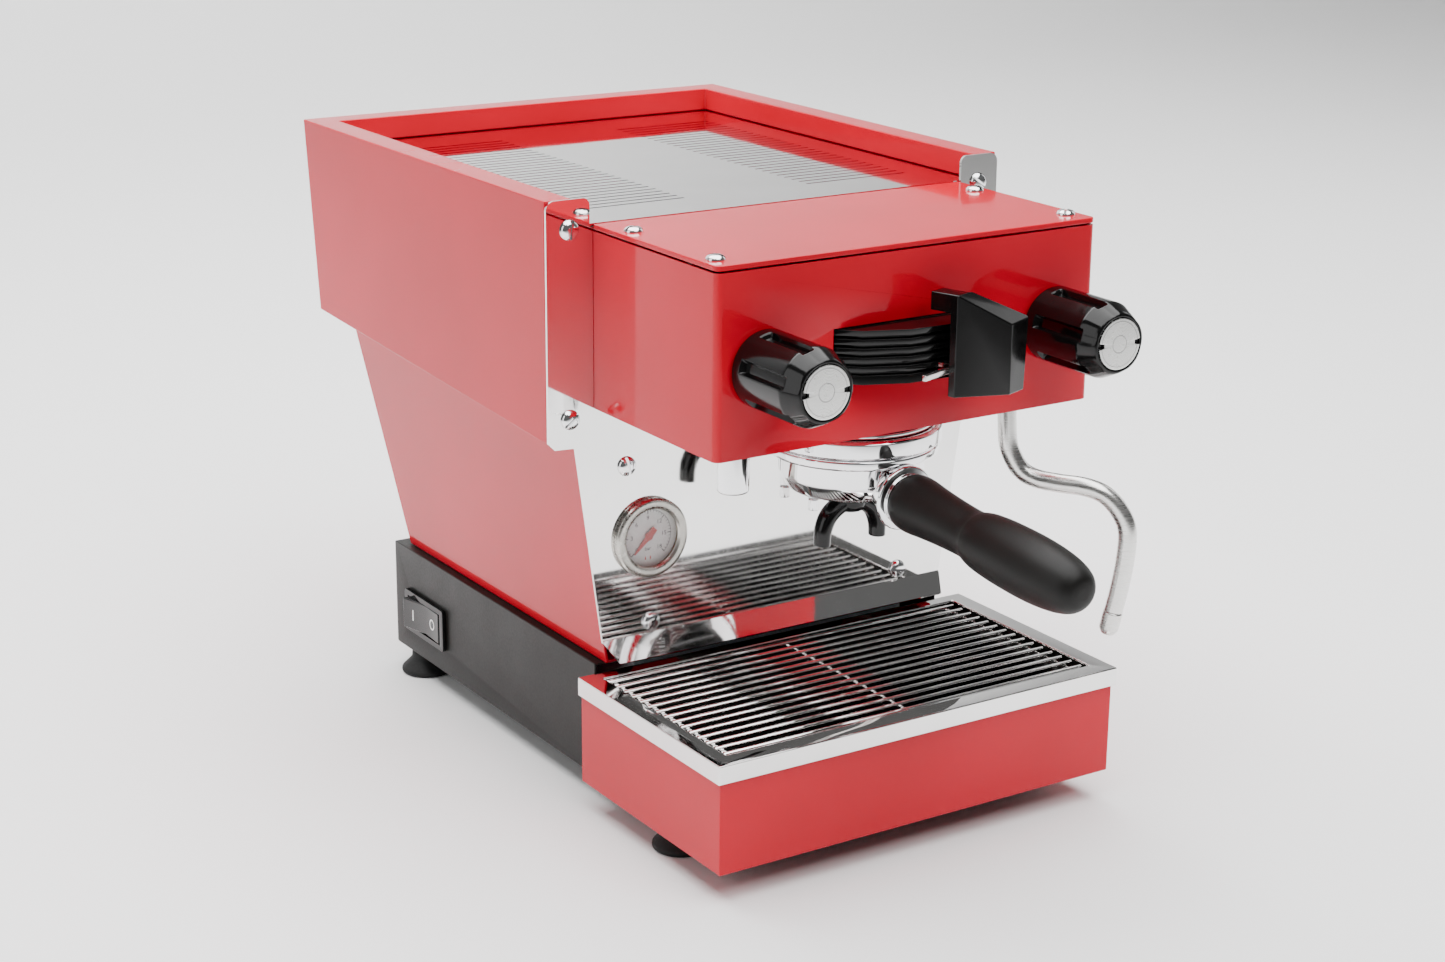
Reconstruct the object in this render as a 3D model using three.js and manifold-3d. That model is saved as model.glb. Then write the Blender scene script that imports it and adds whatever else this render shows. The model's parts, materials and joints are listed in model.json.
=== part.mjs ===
// Compact single-group espresso machine, as an assembly of separate parts. Millimetres, +Z up.
// Everything is drawn in the plate frame: Y = 0 is the front of the upright splash plate, the machine's
// front is towards -Y and X = 0 is its middle plane. The exported group moves that frame along Y so that
// the origin is on the table, in the middle of the whole footprint.
import * as THREE from "three";
import { mergeVertices } from "three/addons/utils/BufferGeometryUtils.js";
import Module from "manifold-3d";

const wasm = await Module();
wasm.setup();

// ---- driving dimensions ----
const GAP = 0.3; // clearance between parts that touch
const SHEET = 1.5; // sheet metal thickness
const BODY_WIDTH = 290;
const RIM_TOP = 337.2; // top of the cup rail
const BODY_REAR_TOP = 297.7; // depth of the upper body behind the plate, at its top
const BODY_REAR_BOTTOM = 283.2; // and at its bottom
const BODY_BOTTOM_FRONT = 209.2; // height of the upper body's lower edge at the plate
const BODY_BOTTOM_REAR = 224; // and at the rear
const RAIL_WIDTH = 16;
const DECK_TOP = 323.3; // cup plate and housing lid
const HOUSING_WIDTH = 235.3;
const HOUSING_DEPTH = 117.7;
const HOUSING_BOTTOM = 225.5;
const LID_EDGE = 2.8;
const LID_GAP = 1;
const LEG_TOP_X = 129; // outer half width of the side panels at their top
const LEG_REAR_TOP = 270;
const LEG_REAR_BOTTOM = 240;
const PLATE_EAR = 25.5; // width of the plate's ears beside the housing
const PLATE_LIP = 10.2;
const LIP_TAPER = 6; // how far each end of the plate's lip narrows towards its edge
const PLATE_LIP_TOP = 94.3;
const BASE_WIDTH = 231;
const LEG_INSET = 5.5; // from the base's side in to the side panels' lower end
const LEG_BOTTOM_X = BASE_WIDTH / 2 - LEG_INSET;
const BASE_TOP = 80.5;
const BASE_BOTTOM = 14.5;
const BASE_REAR = 257;
const BASE_CORNER = 8;
const PLATFORM_FRONT = -128; // front end of the base's floor, under the drip tray
const TRAY_WIDTH = 254.1;
const TRAY_FRONT = -139.2;
const TRAY_TOP = 66.5;
const FRAME_OVERHANG = 1.9; // how far the tray's steel rim stands out over the box
const FRAME_TOP = 77.2;
const FRAME_RAIL = 11;
const WIRE_COUNT = 14;
const WIRE_PITCH = 8.12;
const WIRE_RADIUS = 1.3;
const TANK_WALL = 2;
const GROUP_SETBACK = 50.2; // from the housing's front back to the group's vertical axis
const GROUP_Y = GROUP_SETBACK - HOUSING_DEPTH;
const GROUP_RING_R = 47.3;
const GROUP_RING_TOP = 219.7;
const GROUP_RING_BOTTOM = 209.6;
const FILTER_RIM_R = 45.8;
const FILTER_RIM_HEIGHT = 5.6;
const BASKET_R = 29;
const BOWL_R = 38.6;
const BOWL_HEIGHT = 23;
const SPOUT_SPREAD = 18;
const SPOUT_DROP = 28;
const HANDLE_TILT = 3.9; // degrees down towards its end
const HANDLE_START = 47; // along the handle from the group axis
const HANDLE_LENGTH = 143;
const HANDLE_R = 16.4;
const KNOB_X = 90.3;
const KNOB_Z = 270.3;
const KNOB_R = 20;
const KNOB_LENGTH = 52.6;
const KNOB_FLUTES = 6;
const CAP_R = 13.3;
const STEM_R = 4;
const DRUM_R = 69; // finned drum that carries the brew paddle, around the group axis
const DRUM_HEIGHT = 27.6;
const DRUM_SIDES = 18;
const FIN_COUNT = 6;
const FIN_DEPTH = 2.6;
const PADDLE_ANGLE = 18; // where the paddle stands at rest, towards +X
const PADDLE_SWING = 36;
const SPINDLE_R = 5;
const OUTLET_X = 87.4; // hot water spout and steam wand, left and right
const OUTLET_SETBACK = 30.4; // from the housing's front back to both outlets
const OUTLET_Y = OUTLET_SETBACK - HOUSING_DEPTH;
const SPOUT_R = 8.3;
const SPOUT_END = 198.5;
const WAND_R = 5.2;
const WAND_TURN = 43; // direction of the wand's bend, degrees from +X towards the front
const WAND_BALL_R = 8;
const WAND_BALL_Z = 234;
const WAND_TIP = 14;
const GAUGE_X = -83.8;
const GAUGE_Z = 149;
const GAUGE_R = 22.25;
const GAUGE_DEPTH = 28;
const SWITCH_Y = 208.5;
const SWITCH_Z = 42;
const SWITCH_LENGTH = 51;
const SWITCH_HEIGHT = 26;
const FOOT_X = 106;
const FOOT_REAR_Y = 230;
const FOOT_FRONT_Y = -69;
const FOOT_R = 15.5;

// ---- shape helpers: each returns a manifold-3d solid ----
function solidFrom(geometry) {
  geometry.deleteAttribute("normal");
  geometry.deleteAttribute("uv");
  const merged = mergeVertices(geometry, 1e-4);
  const corners = merged.index.array;
  const kept = [];
  for (let i = 0; i < corners.length; i += 3) {
    const [a, b, c] = [corners[i], corners[i + 1], corners[i + 2]];
    if (a !== b && b !== c && c !== a) kept.push(a, b, c);
  }
  const build = (triangles) =>
    new wasm.Manifold(
      new wasm.Mesh({
        numProp: 3,
        vertProperties: new Float32Array(merged.attributes.position.array),
        triVerts: new Uint32Array(triangles),
      }),
    );
  const made = build(kept);
  if (made.volume() > 0) return made;
  const turned = [];
  for (let i = 0; i < kept.length; i += 3) turned.push(kept[i], kept[i + 2], kept[i + 1]);
  return build(turned);
}

const join = (first, ...others) => others.reduce((sum, one) => sum.add(one), first);
const cut = (first, ...others) => others.reduce((left, one) => left.subtract(one), first);

function box(x0, x1, y0, y1, z0, z1) {
  const geometry = new THREE.BoxGeometry(x1 - x0, y1 - y0, z1 - z0);
  return solidFrom(geometry.translate((x0 + x1) / 2, (y0 + y1) / 2, (z0 + z1) / 2));
}

function shapeOf(outline, holes = []) {
  const toShape = (points) => new THREE.Shape(points.map(([u, v]) => new THREE.Vector2(u, v)));
  const shape = outline instanceof THREE.Shape ? outline : toShape(outline);
  shape.holes.push(...holes.map((hole) => (hole instanceof THREE.Shape ? hole : toShape(hole))));
  return shape;
}

// An outline in X and Y pushed up from z0 to z1.
function prismZ(outline, z0, z1, holes, curveSegments = 4) {
  const options = { depth: z1 - z0, bevelEnabled: false, curveSegments };
  return solidFrom(new THREE.ExtrudeGeometry(shapeOf(outline, holes), options).translate(0, 0, z0));
}

// An outline in X and Z pushed along Y, from y0 to y1.
function prismY(outline, y0, y1, holes, curveSegments = 4) {
  const options = { depth: y1 - y0, bevelEnabled: false, curveSegments };
  const geometry = new THREE.ExtrudeGeometry(shapeOf(outline, holes), options);
  return solidFrom(geometry.rotateX(Math.PI / 2).translate(0, y1, 0));
}

// An outline in Y and Z pushed along X, from x0 to x1.
function prismX(outline, x0, x1, holes, curveSegments = 4) {
  const options = { depth: x1 - x0, bevelEnabled: false, curveSegments };
  const geometry = new THREE.ExtrudeGeometry(shapeOf(outline, holes), options);
  const axes = new THREE.Matrix4().set(0, 0, 1, x0, 1, 0, 0, 0, 0, 1, 0, 0, 0, 0, 0, 1);
  return solidFrom(geometry.applyMatrix4(axes));
}

// A rectangle with round corners, as a shape: centre (u, v), full sizes and corner radius.
function roundRect(u, v, width, height, radius) {
  const shape = new THREE.Shape();
  const [right, top] = [width / 2 - radius, height / 2 - radius];
  shape.absarc(u + right, v + top, radius, 0, Math.PI / 2);
  shape.absarc(u - right, v + top, radius, Math.PI / 2, Math.PI);
  shape.absarc(u - right, v - top, radius, Math.PI, 1.5 * Math.PI);
  shape.absarc(u + right, v - top, radius, 1.5 * Math.PI, 2 * Math.PI);
  return shape;
}

// A profile of [radius, height] pairs turned about the vertical axis through (x, y).
function turned(profile, x = 0, y = 0, segments = 32) {
  const points = profile.map(([radius, height]) => new THREE.Vector2(radius, height));
  const geometry = new THREE.LatheGeometry(points, segments);
  return solidFrom(geometry.rotateX(Math.PI / 2).translate(x, y, 0));
}

// The same about an axis along Y: each pair is [radius, y].
function turnedY(profile, x, z, segments = 32) {
  const points = profile.map(([radius, along]) => new THREE.Vector2(radius, along));
  return solidFrom(new THREE.LatheGeometry(points, segments).translate(x, 0, z));
}

const rod = (radius, z0, z1, x, y, segments) =>
  turned([[0, z0], [radius, z0], [radius, z1], [0, z1]], x, y, segments);
const rodY = (radius, y0, y1, x, z, segments) =>
  turnedY([[0, y0], [radius, y0], [radius, y1], [0, y1]], x, z, segments);
const rodX = (radius, x0, x1, y, z, segments) =>
  rod(radius, x0, x1, 0, 0, segments).rotate([0, 90, 0]).translate([0, y, z]);

const radians = (degrees) => (degrees * Math.PI) / 180;

// Turns a solid about the group's vertical axis.
const aboutGroup = (solid, degrees) =>
  solid.translate([0, -GROUP_Y, 0]).rotate([0, 0, degrees]).translate([0, GROUP_Y, 0]);

// ---- finishes ----
const finish = (color, roughness, metalness) =>
  new THREE.MeshStandardMaterial({ color, roughness, metalness });
const redPaint = finish(0xb40a1c, 0.12, 0);
const mirrorSteel = finish(0xd8d8da, 0.06, 1);
const brushedSteel = finish(0xb9b7b4, 0.28, 1);
const chrome = finish(0xdedfe2, 0.05, 1);
const blackSheet = finish(0x24221f, 0.45, 0);
const glossBlack = finish(0x0a0a0a, 0.12, 0);
const gripRubber = finish(0x1a1918, 0.6, 0);
const blackRubber = finish(0x141414, 0.7, 0);
const dialWhite = finish(0xf2f2ee, 0.5, 0);
const needleRed = finish(0xd8281c, 0.4, 0);
const clearGlass = finish(0xf4fbff, 0.02, 0);
const tankPlastic = finish(0xb9c4cc, 0.2, 0);
const boilerSteel = finish(0xa9a7a2, 0.35, 1);
const brass = finish(0xb08d4a, 0.35, 1);

const machine = new THREE.Group();

function add(name, solid, material) {
  const mesh = solid.getMesh();
  const geometry = new THREE.BufferGeometry();
  geometry.setAttribute("position", new THREE.BufferAttribute(new Float32Array(mesh.vertProperties), 3));
  geometry.setIndex(new THREE.BufferAttribute(new Uint32Array(mesh.triVerts), 1));
  geometry.computeVertexNormals();
  const made = new THREE.Mesh(geometry, material);
  made.name = name;
  machine.add(made);
}

// ---- base, feet, switch and power inlet ----
const FLOOR_TOP = BASE_BOTTOM + SHEET;
const BASE_FRONT = SHEET + GAP; // the base's walls start just behind the splash plate
const TANK_HALF = BASE_WIDTH / 2 - 25;

function baseOutline(inset) {
  const [half, front, rear] = [BASE_WIDTH / 2 - inset, BASE_FRONT - inset, BASE_REAR - inset];
  const corner = BASE_CORNER - inset;
  const shape = new THREE.Shape();
  shape.moveTo(-half, front);
  shape.lineTo(half, front);
  shape.absarc(half - corner, rear - corner, corner, 0, Math.PI / 2);
  shape.absarc(-half + corner, rear - corner, corner, Math.PI / 2, Math.PI);
  return shape;
}

// The base seen from the side: square in front, with a round rear top edge.
function baseProfile(inset) {
  const [front, rear, radius] = [BASE_FRONT - 10, BASE_REAR - inset, BASE_CORNER - inset];
  const [low, high] = [BASE_BOTTOM + inset, BASE_TOP - inset];
  const shape = new THREE.Shape();
  shape.moveTo(front, low);
  shape.lineTo(rear, low);
  shape.absarc(rear - radius, high - radius, radius, 0, Math.PI / 2);
  shape.lineTo(front, high);
  return shape;
}

// The base's block, or its hollow when it is set in by the sheet's thickness.
function baseBlock(inset) {
  const plan = prismZ(baseOutline(inset), BASE_BOTTOM + inset, BASE_TOP - inset);
  return plan.intersect(prismX(baseProfile(inset), -BASE_WIDTH / 2, BASE_WIDTH / 2));
}

function basePan() {
  const half = BASE_WIDTH / 2;
  const top = box(-half + 24, half - 24, 20, BASE_REAR - 24, BASE_TOP - 2 * SHEET, BASE_TOP + 1);
  const mouth = box(-half - 1, half + 1, BASE_FRONT - 1, BASE_FRONT + 3, FLOOR_TOP, BASE_TOP + 1);
  const platform = box(-half, half, PLATFORM_FRONT, BASE_FRONT + 1, BASE_BOTTOM, FLOOR_TOP);
  const switchHole = box(
    -half - 1, -half + 3, SWITCH_Y - SWITCH_LENGTH / 2 + 3, SWITCH_Y + SWITCH_LENGTH / 2 - 3,
    SWITCH_Z - SWITCH_HEIGHT / 2 + 3, SWITCH_Z + SWITCH_HEIGHT / 2 - 3,
  );
  const inletHole = box(
    INLET_X - INLET_HALF - 0.5, INLET_X + INLET_HALF + 0.5, BASE_REAR - 3, BASE_REAR + 1,
    INLET_Z - 10.5, INLET_Z + 10.5,
  );
  return cut(join(cut(baseBlock(0), baseBlock(SHEET)), platform), top, mouth, switchHole, inletHole);
}

const INLET_X = -60;
const INLET_Z = 44;
const INLET_HALF = 13.5;

function powerInlet() {
  const flange = prismY(roundRect(INLET_X, INLET_Z, 34, 26, 3), BASE_REAR + GAP, BASE_REAR + 2.5);
  const [left, right, back] = [INLET_X - INLET_HALF, INLET_X + INLET_HALF, BASE_REAR - 16];
  const body = box(left, right, back, BASE_REAR + 1, INLET_Z - 10, INLET_Z + 10);
  const recess = prismY(roundRect(INLET_X, INLET_Z, 23, 15.5, 3), BASE_REAR - 13, BASE_REAR + 3);
  const pins = [[-7, 0], [0, 2], [7, 0]].map(([x, rise]) => {
    const [middle, low] = [INLET_X + x, INLET_Z - 2 + rise];
    return box(middle - 1, middle + 1, BASE_REAR - 14, BASE_REAR - 3, low, low + 4);
  });
  return join(cut(join(flange, body), recess), ...pins);
}

const SWITCH_X = -BASE_WIDTH / 2;
const ROCKER_HALF = 21;
const ROCKER_HEIGHT = 19;

function switchFrame() {
  const inner = [ROCKER_HALF + GAP, ROCKER_HEIGHT / 2 + GAP];
  const bezel = prismX(roundRect(SWITCH_Y, SWITCH_Z, SWITCH_LENGTH, SWITCH_HEIGHT, 2),
    SWITCH_X - 2.6, SWITCH_X - GAP);
  const body = box(
    SWITCH_X - 1, SWITCH_X + 22, SWITCH_Y - SWITCH_LENGTH / 2 + 3.3, SWITCH_Y + SWITCH_LENGTH / 2 - 3.3,
    SWITCH_Z - SWITCH_HEIGHT / 2 + 3.3, SWITCH_Z + SWITCH_HEIGHT / 2 - 3.3,
  );
  const well = box(
    SWITCH_X - 4, SWITCH_X + 18, SWITCH_Y - inner[0], SWITCH_Y + inner[0], SWITCH_Z - inner[1],
      SWITCH_Z + inner[1],
  );
  return cut(join(bezel, body), well);
}

// The rocker's face is a shallow V, so that one half stands out and the other lies in.
function switchRocker() {
  const face = SWITCH_X - 2.2;
  const outline = [
    [face - 4.6, SWITCH_Y + ROCKER_HALF - 1.2],
    [face + 0.4, SWITCH_Y - 1],
    [face - 0.6, SWITCH_Y - ROCKER_HALF + 1.2],
    [face + 9, SWITCH_Y - ROCKER_HALF + 4],
    [face + 12, SWITCH_Y],
    [face + 7, SWITCH_Y + ROCKER_HALF - 3],
  ];
  return prismZ(outline, SWITCH_Z - ROCKER_HEIGHT / 2, SWITCH_Z + ROCKER_HEIGHT / 2);
}

function foot(x, y) {
  const top = BASE_BOTTOM - GAP;
  const profile = [[0, 0], [FOOT_R, 0], [FOOT_R, 3], [10, 8.5], [9, top], [0, top]];
  return turned(profile, x, y, 20);
}

// ---- upper body ----
const bodyBottomAt = (y) =>
  BODY_BOTTOM_FRONT + ((BODY_BOTTOM_REAR - BODY_BOTTOM_FRONT) * y) / BODY_REAR_BOTTOM;
const PLATE_BACK = SHEET; // the plate's rear face
const BODY_FRONT = PLATE_BACK + GAP;

function bodySide(inset) {
  return [
    [BODY_FRONT, bodyBottomAt(0) + inset],
    [BODY_REAR_BOTTOM - inset, BODY_BOTTOM_REAR + inset],
    [BODY_REAR_TOP - inset, RIM_TOP - inset],
    [BODY_FRONT, RIM_TOP - inset],
  ];
}

function upperShell() {
  const half = BODY_WIDTH / 2;
  const inner = bodySide(SHEET).map(([y, z], i) => [i === 0 || i === 3 ? y - 5 : y, z]);
  const shell = cut(
    prismX(bodySide(0), -half, half),
    prismX(inner, -half + SHEET, half - SHEET),
  );
  const railInner = half - RAIL_WIDTH;
  const railRear = BODY_REAR_TOP - RAIL_WIDTH;
  const opening = box(-railInner, railInner, -5, railRear, DECK_TOP - 20, RIM_TOP + 1);
  const skirt = box(
    -railInner - SHEET, railInner + SHEET, BODY_FRONT, railRear + SHEET, DECK_TOP + GAP, RIM_TOP - 0.5,
  );
  const legHole = box(
    -LEG_TOP_X + 3, LEG_TOP_X - 3, -5, LEG_REAR_TOP - 8, BODY_BOTTOM_FRONT - 5, BODY_BOTTOM_REAR + 5,
  );
  return cut(join(shell, skirt), opening, legHole);
}

// Half width of a side panel's outer face at height z.
const legX = (z) =>
  LEG_BOTTOM_X + ((LEG_TOP_X - LEG_BOTTOM_X) * (z - BASE_TOP)) / (BODY_BOTTOM_FRONT - BASE_TOP);
const LEG_FOOT = BASE_TOP + GAP;
const legRearAt = (z) =>
  LEG_REAR_BOTTOM + ((LEG_REAR_TOP - LEG_REAR_BOTTOM) * (z - BASE_TOP)) / (BODY_BOTTOM_REAR - BASE_TOP);

// Everything under the upper body's slanted lower edge and in front of the rear slope.
function belowBody(rearInset) {
  const high = bodyBottomAt(LEG_REAR_TOP) - GAP;
  return prismX(
    [
      [BODY_FRONT, LEG_FOOT],
      [legRearAt(LEG_FOOT) - rearInset, LEG_FOOT],
      [legRearAt(high) - rearInset, high],
      [BODY_FRONT, bodyBottomAt(BODY_FRONT) - GAP],
    ],
    -BODY_WIDTH / 2, BODY_WIDTH / 2,
  );
}

function sidePanel(side) {
  const high = BODY_BOTTOM_REAR;
  const outline = [
    [legX(LEG_FOOT), LEG_FOOT],
    [legX(high), high],
    [legX(high) - SHEET, high],
    [legX(LEG_FOOT) - SHEET, LEG_FOOT + SHEET],
    [legX(LEG_FOOT) - 8, LEG_FOOT + SHEET],
    [legX(LEG_FOOT) - 8, LEG_FOOT],
  ].map(([x, z]) => [side * x, z]);
  return prismY(outline, 0, LEG_REAR_TOP + 10).intersect(belowBody(0));
}

function rearPanel() {
  const high = bodyBottomAt(LEG_REAR_TOP) - GAP;
  const slope = prismX(
    [
      [legRearAt(LEG_FOOT), LEG_FOOT],
      [legRearAt(high), high],
      [legRearAt(high) - SHEET, high],
      [legRearAt(LEG_FOOT) - SHEET, LEG_FOOT],
    ],
    -BODY_WIDTH / 2, BODY_WIDTH / 2,
  );
  const inside = SHEET + GAP + 0.2;
  const taper = prismY(
    [
      [-legX(LEG_FOOT) + inside, LEG_FOOT],
      [legX(LEG_FOOT) - inside, LEG_FOOT],
      [legX(high) - inside, high],
      [-legX(high) + inside, high],
    ],
    0, BODY_REAR_TOP,
  );
  const flanges = [-1, 1].map((side) => box(
    side < 0 ? -legX(LEG_FOOT) - 1 : legX(LEG_FOOT) - 9, side < 0 ? -legX(LEG_FOOT) + 9 : legX(LEG_FOOT) + 1,
    0, BODY_REAR_TOP, LEG_FOOT - 1, LEG_FOOT + SHEET + GAP,
  ));
  const vents = [];
  for (let row = 0; row < 5; row += 1) {
    vents.push(box(-52, 52, 200, BODY_REAR_TOP, 168 + row * 9, 171 + row * 9));
  }
  return cut(slope.intersect(taper), ...flanges, ...vents);
}

// ---- splash plate and cup plate ----
const PLATE_STEP = 205.4; // where the plate steps in from the body's width to the legs'
const PLATE_TOP = DECK_TOP - SHEET - GAP;

function plateShape() {
  const half = BODY_WIDTH / 2;
  const ear = half - PLATE_EAR;
  const low = legX(PLATE_LIP_TOP) + 1;
  const shape = new THREE.Shape();
  shape.moveTo(-low, PLATE_LIP_TOP - 1);
  shape.lineTo(low, PLATE_LIP_TOP - 1);
  shape.lineTo(legX(PLATE_STEP) + 0.4, PLATE_STEP - 2);
  shape.quadraticCurveTo(legX(PLATE_STEP) + 0.5, PLATE_STEP, legX(PLATE_STEP) + 2.5, PLATE_STEP);
  shape.lineTo(half - 3.8, PLATE_STEP + 0.5);
  shape.lineTo(half, PLATE_STEP + 4.3);
  shape.absarc(half - 5, RIM_TOP - 5, 5, 0, Math.PI / 2);
  shape.absarc(ear + 4, RIM_TOP - 4, 4, Math.PI / 2, Math.PI);
  shape.lineTo(ear, PLATE_TOP);
  shape.lineTo(-ear, PLATE_TOP);
  shape.absarc(-ear - 4, RIM_TOP - 4, 4, 0, Math.PI / 2);
  shape.absarc(-half + 5, RIM_TOP - 5, 5, Math.PI / 2, Math.PI);
  shape.lineTo(-half, PLATE_STEP + 4.3);
  shape.lineTo(-half + 3.8, PLATE_STEP + 0.5);
  shape.lineTo(-legX(PLATE_STEP) - 2.5, PLATE_STEP);
  shape.quadraticCurveTo(-legX(PLATE_STEP) - 0.5, PLATE_STEP, -legX(PLATE_STEP) - 0.4, PLATE_STEP - 2);
  return shape;
}

const NECK_Z = 244;
const NECK_R = 13;

function splashPlate() {
  const sheet = prismY(plateShape(), 0, SHEET, undefined, 5);
  const slant = SHEET / Math.SQRT2;
  const low = legX(PLATE_LIP_TOP) + 1;
  const lip = prismX(
    [
      [0, PLATE_LIP_TOP],
      [-PLATE_LIP, PLATE_LIP_TOP - PLATE_LIP],
      [-PLATE_LIP + slant, PLATE_LIP_TOP - PLATE_LIP - slant],
      [SHEET, PLATE_LIP_TOP - SHEET / 2],
      [SHEET, PLATE_LIP_TOP],
    ],
    -low, low,
  );
  const lipEnd = low - LIP_TAPER;
  const taper = prismY(
    [
      [-low, PLATE_LIP_TOP + 1], [-low, PLATE_LIP_TOP - 1], [-lipEnd, PLATE_LIP_TOP - PLATE_LIP - 2],
      [lipEnd, PLATE_LIP_TOP - PLATE_LIP - 2], [low, PLATE_LIP_TOP - 1], [low, PLATE_LIP_TOP + 1],
    ],
    -PLATE_LIP - 3, SHEET + 1,
  );
  const gaugeHole = rodY(GAUGE_R - 2, -1, SHEET + 1, GAUGE_X, GAUGE_Z, 32);
  const neckHole = rodY(NECK_R + 2, -1, SHEET + 1, 0, NECK_Z, 24);
  const pipes = [-1, 1].map((side) => rodY(PIPE_R + 2, -1, SHEET + 1, side * KNOB_X, KNOB_Z, 16));
  return cut(join(sheet, lip.intersect(taper)), gaugeHole, neckHole, ...pipes);
}

const SLOT_COUNT = 29;
const SLOT_PITCH = 7.38;
const SLOT_WIDTH = 1.7;
const SLOT_INNER = 40; // inner and outer ends of both groups of slots
const SLOT_OUTER = 107;
const SLOT_FIRST_Y = 36.5;

function cupPlate() {
  const edge = GAP + 0.2;
  const half = BODY_WIDTH / 2 - RAIL_WIDTH - edge;
  const slab = box(-half, half, BODY_FRONT, BODY_REAR_TOP - RAIL_WIDTH - edge, DECK_TOP - SHEET, DECK_TOP);
  const slots = [];
  for (let i = 0; i < SLOT_COUNT; i += 1) {
    const y = SLOT_FIRST_Y + i * SLOT_PITCH;
    for (const side of [-1, 1]) {
      const ends = [side * SLOT_INNER, side * SLOT_OUTER].sort((a, b) => a - b);
      slots.push(box(ends[0], ends[1], y - SLOT_WIDTH / 2, y + SLOT_WIDTH / 2, DECK_TOP - 3, DECK_TOP + 1));
    }
  }
  return cut(slab, ...slots);
}

// ---- front housing and its lid ----
const HOUSING_TOP = DECK_TOP - LID_EDGE - LID_GAP;
const DRUM_TOP = KNOB_Z - 0.6 + DRUM_HEIGHT / 2;
const DRUM_BOTTOM = DRUM_TOP - DRUM_HEIGHT;
const DRUM_CLEAR = 0.8;

function housingOutline(inset) {
  const [half, front] = [HOUSING_WIDTH / 2 - inset, HOUSING_DEPTH - inset];
  const corner = 4 - inset;
  const shape = new THREE.Shape();
  shape.moveTo(half, inset ? 2 : -GAP);
  shape.lineTo(-half, inset ? 2 : -GAP);
  shape.absarc(-half + corner, -front + corner, corner, Math.PI, 1.5 * Math.PI);
  shape.absarc(half - corner, -front + corner, corner, 1.5 * Math.PI, 2 * Math.PI);
  return shape;
}

function groupHousing() {
  const walls = cut(
    prismZ(housingOutline(0), HOUSING_BOTTOM, HOUSING_TOP, undefined, 4),
    prismZ(housingOutline(SHEET), HOUSING_BOTTOM + SHEET, HOUSING_TOP + 1, undefined, 4),
  );
  const groupHole = rod(GROUP_RING_R - 2, HOUSING_BOTTOM - 1, HOUSING_BOTTOM + 3, 0, GROUP_Y, 40);
  const waterHole = rod(SPOUT_R + 0.6, HOUSING_BOTTOM - 1, HOUSING_BOTTOM + 3, -OUTLET_X, OUTLET_Y, 24);
  const wandHole = rod(WAND_R + 4.5, HOUSING_BOTTOM - 1, HOUSING_BOTTOM + 3, OUTLET_X, OUTLET_Y, 24);
  const drainHole = rod(DRAIN_R + 0.6, HOUSING_BOTTOM - 1, HOUSING_BOTTOM + 3, DRAIN_X, DRAIN_Y, 14);
  const stemHoles = [-1, 1].map((side) =>
    rodY(STEM_R + 2, -HOUSING_DEPTH - 1, -HOUSING_DEPTH + 3, side * KNOB_X, KNOB_Z, 16),
  );
  const reach = HOUSING_DEPTH + GROUP_Y;
  const windowHalf = Math.sqrt(DRUM_R ** 2 - reach ** 2) + 1.6;
  const drumWindow = box(
    -windowHalf, windowHalf, -HOUSING_DEPTH - 1, -HOUSING_DEPTH + 3, DRUM_BOTTOM - DRUM_CLEAR,
      DRUM_TOP + DRUM_CLEAR,
  );
  return cut(walls, groupHole, waterHole, wandHole, drainHole, ...stemHoles, drumWindow);
}

function housingLid() {
  const low = DECK_TOP - LID_EDGE;
  return cut(
    prismZ(housingOutline(0), low, DECK_TOP, undefined, 4),
    prismZ(housingOutline(SHEET), low - 1, DECK_TOP - SHEET, undefined, 4),
  );
}

// ---- pressure gauge ----
const gaugeTurned = (profile) => turnedY(profile, GAUGE_X, GAUGE_Z, 32);
const BEZEL_FRONT = -4.3;

function gaugeBezel() {
  const [outer, eye, seat] = [GAUGE_R, 16, GAUGE_R - 3.2];
  return gaugeTurned([
    [seat, -GAP], [outer, -GAP], [outer, BEZEL_FRONT + 1.2], [outer - 1.4, BEZEL_FRONT],
    [eye + 1.5, BEZEL_FRONT], [eye, BEZEL_FRONT + 1.8], [seat, BEZEL_FRONT + 1.8], [seat, -GAP],
  ]);
}

const gaugeLens = () => {
  const [radius, front] = [GAUGE_R - 3.5, BEZEL_FRONT + 2.1];
  return gaugeTurned([[0, front], [radius, front], [radius, front + 1.2], [0, front + 1.2]]);
};

function gaugeCase() {
  const [outer, back] = [GAUGE_R - 2.4, GAUGE_DEPTH];
  return gaugeTurned([
    [0, back], [outer, back], [outer, 0], [outer - 1, 0], [outer - 1, back - 2], [0, back - 2],
  ]);
}

const gaugeDial = () => {
  const radius = GAUGE_R - 3.8;
  return gaugeTurned([[0, 1.6], [radius, 1.6], [radius, 2.6], [0, 2.6]]);
};

// The needle points to the start of the scale, down to the left.
function gaugeNeedle() {
  const blade = [[-1.5, -5], [1.5, -5], [2, -2], [0.4, 12.5], [-0.4, 12.5], [-2, -2]];
  const hub = turnedY([[0, -0.4], [2.6, -0.4], [2.6, 1.2], [0, 1.2]], 0, 0, 16);
  return join(prismY(blade, 0, 0.6), hub).rotate([0, -135, 0]).translate([GAUGE_X, 0, GAUGE_Z]);
}

// ---- steam and hot water valves and their knobs ----
const KNOB_BACK = -HOUSING_DEPTH - 0.8;
const KNOB_FRONT = KNOB_BACK - KNOB_LENGTH;
const PIPE_R = 5;

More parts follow.
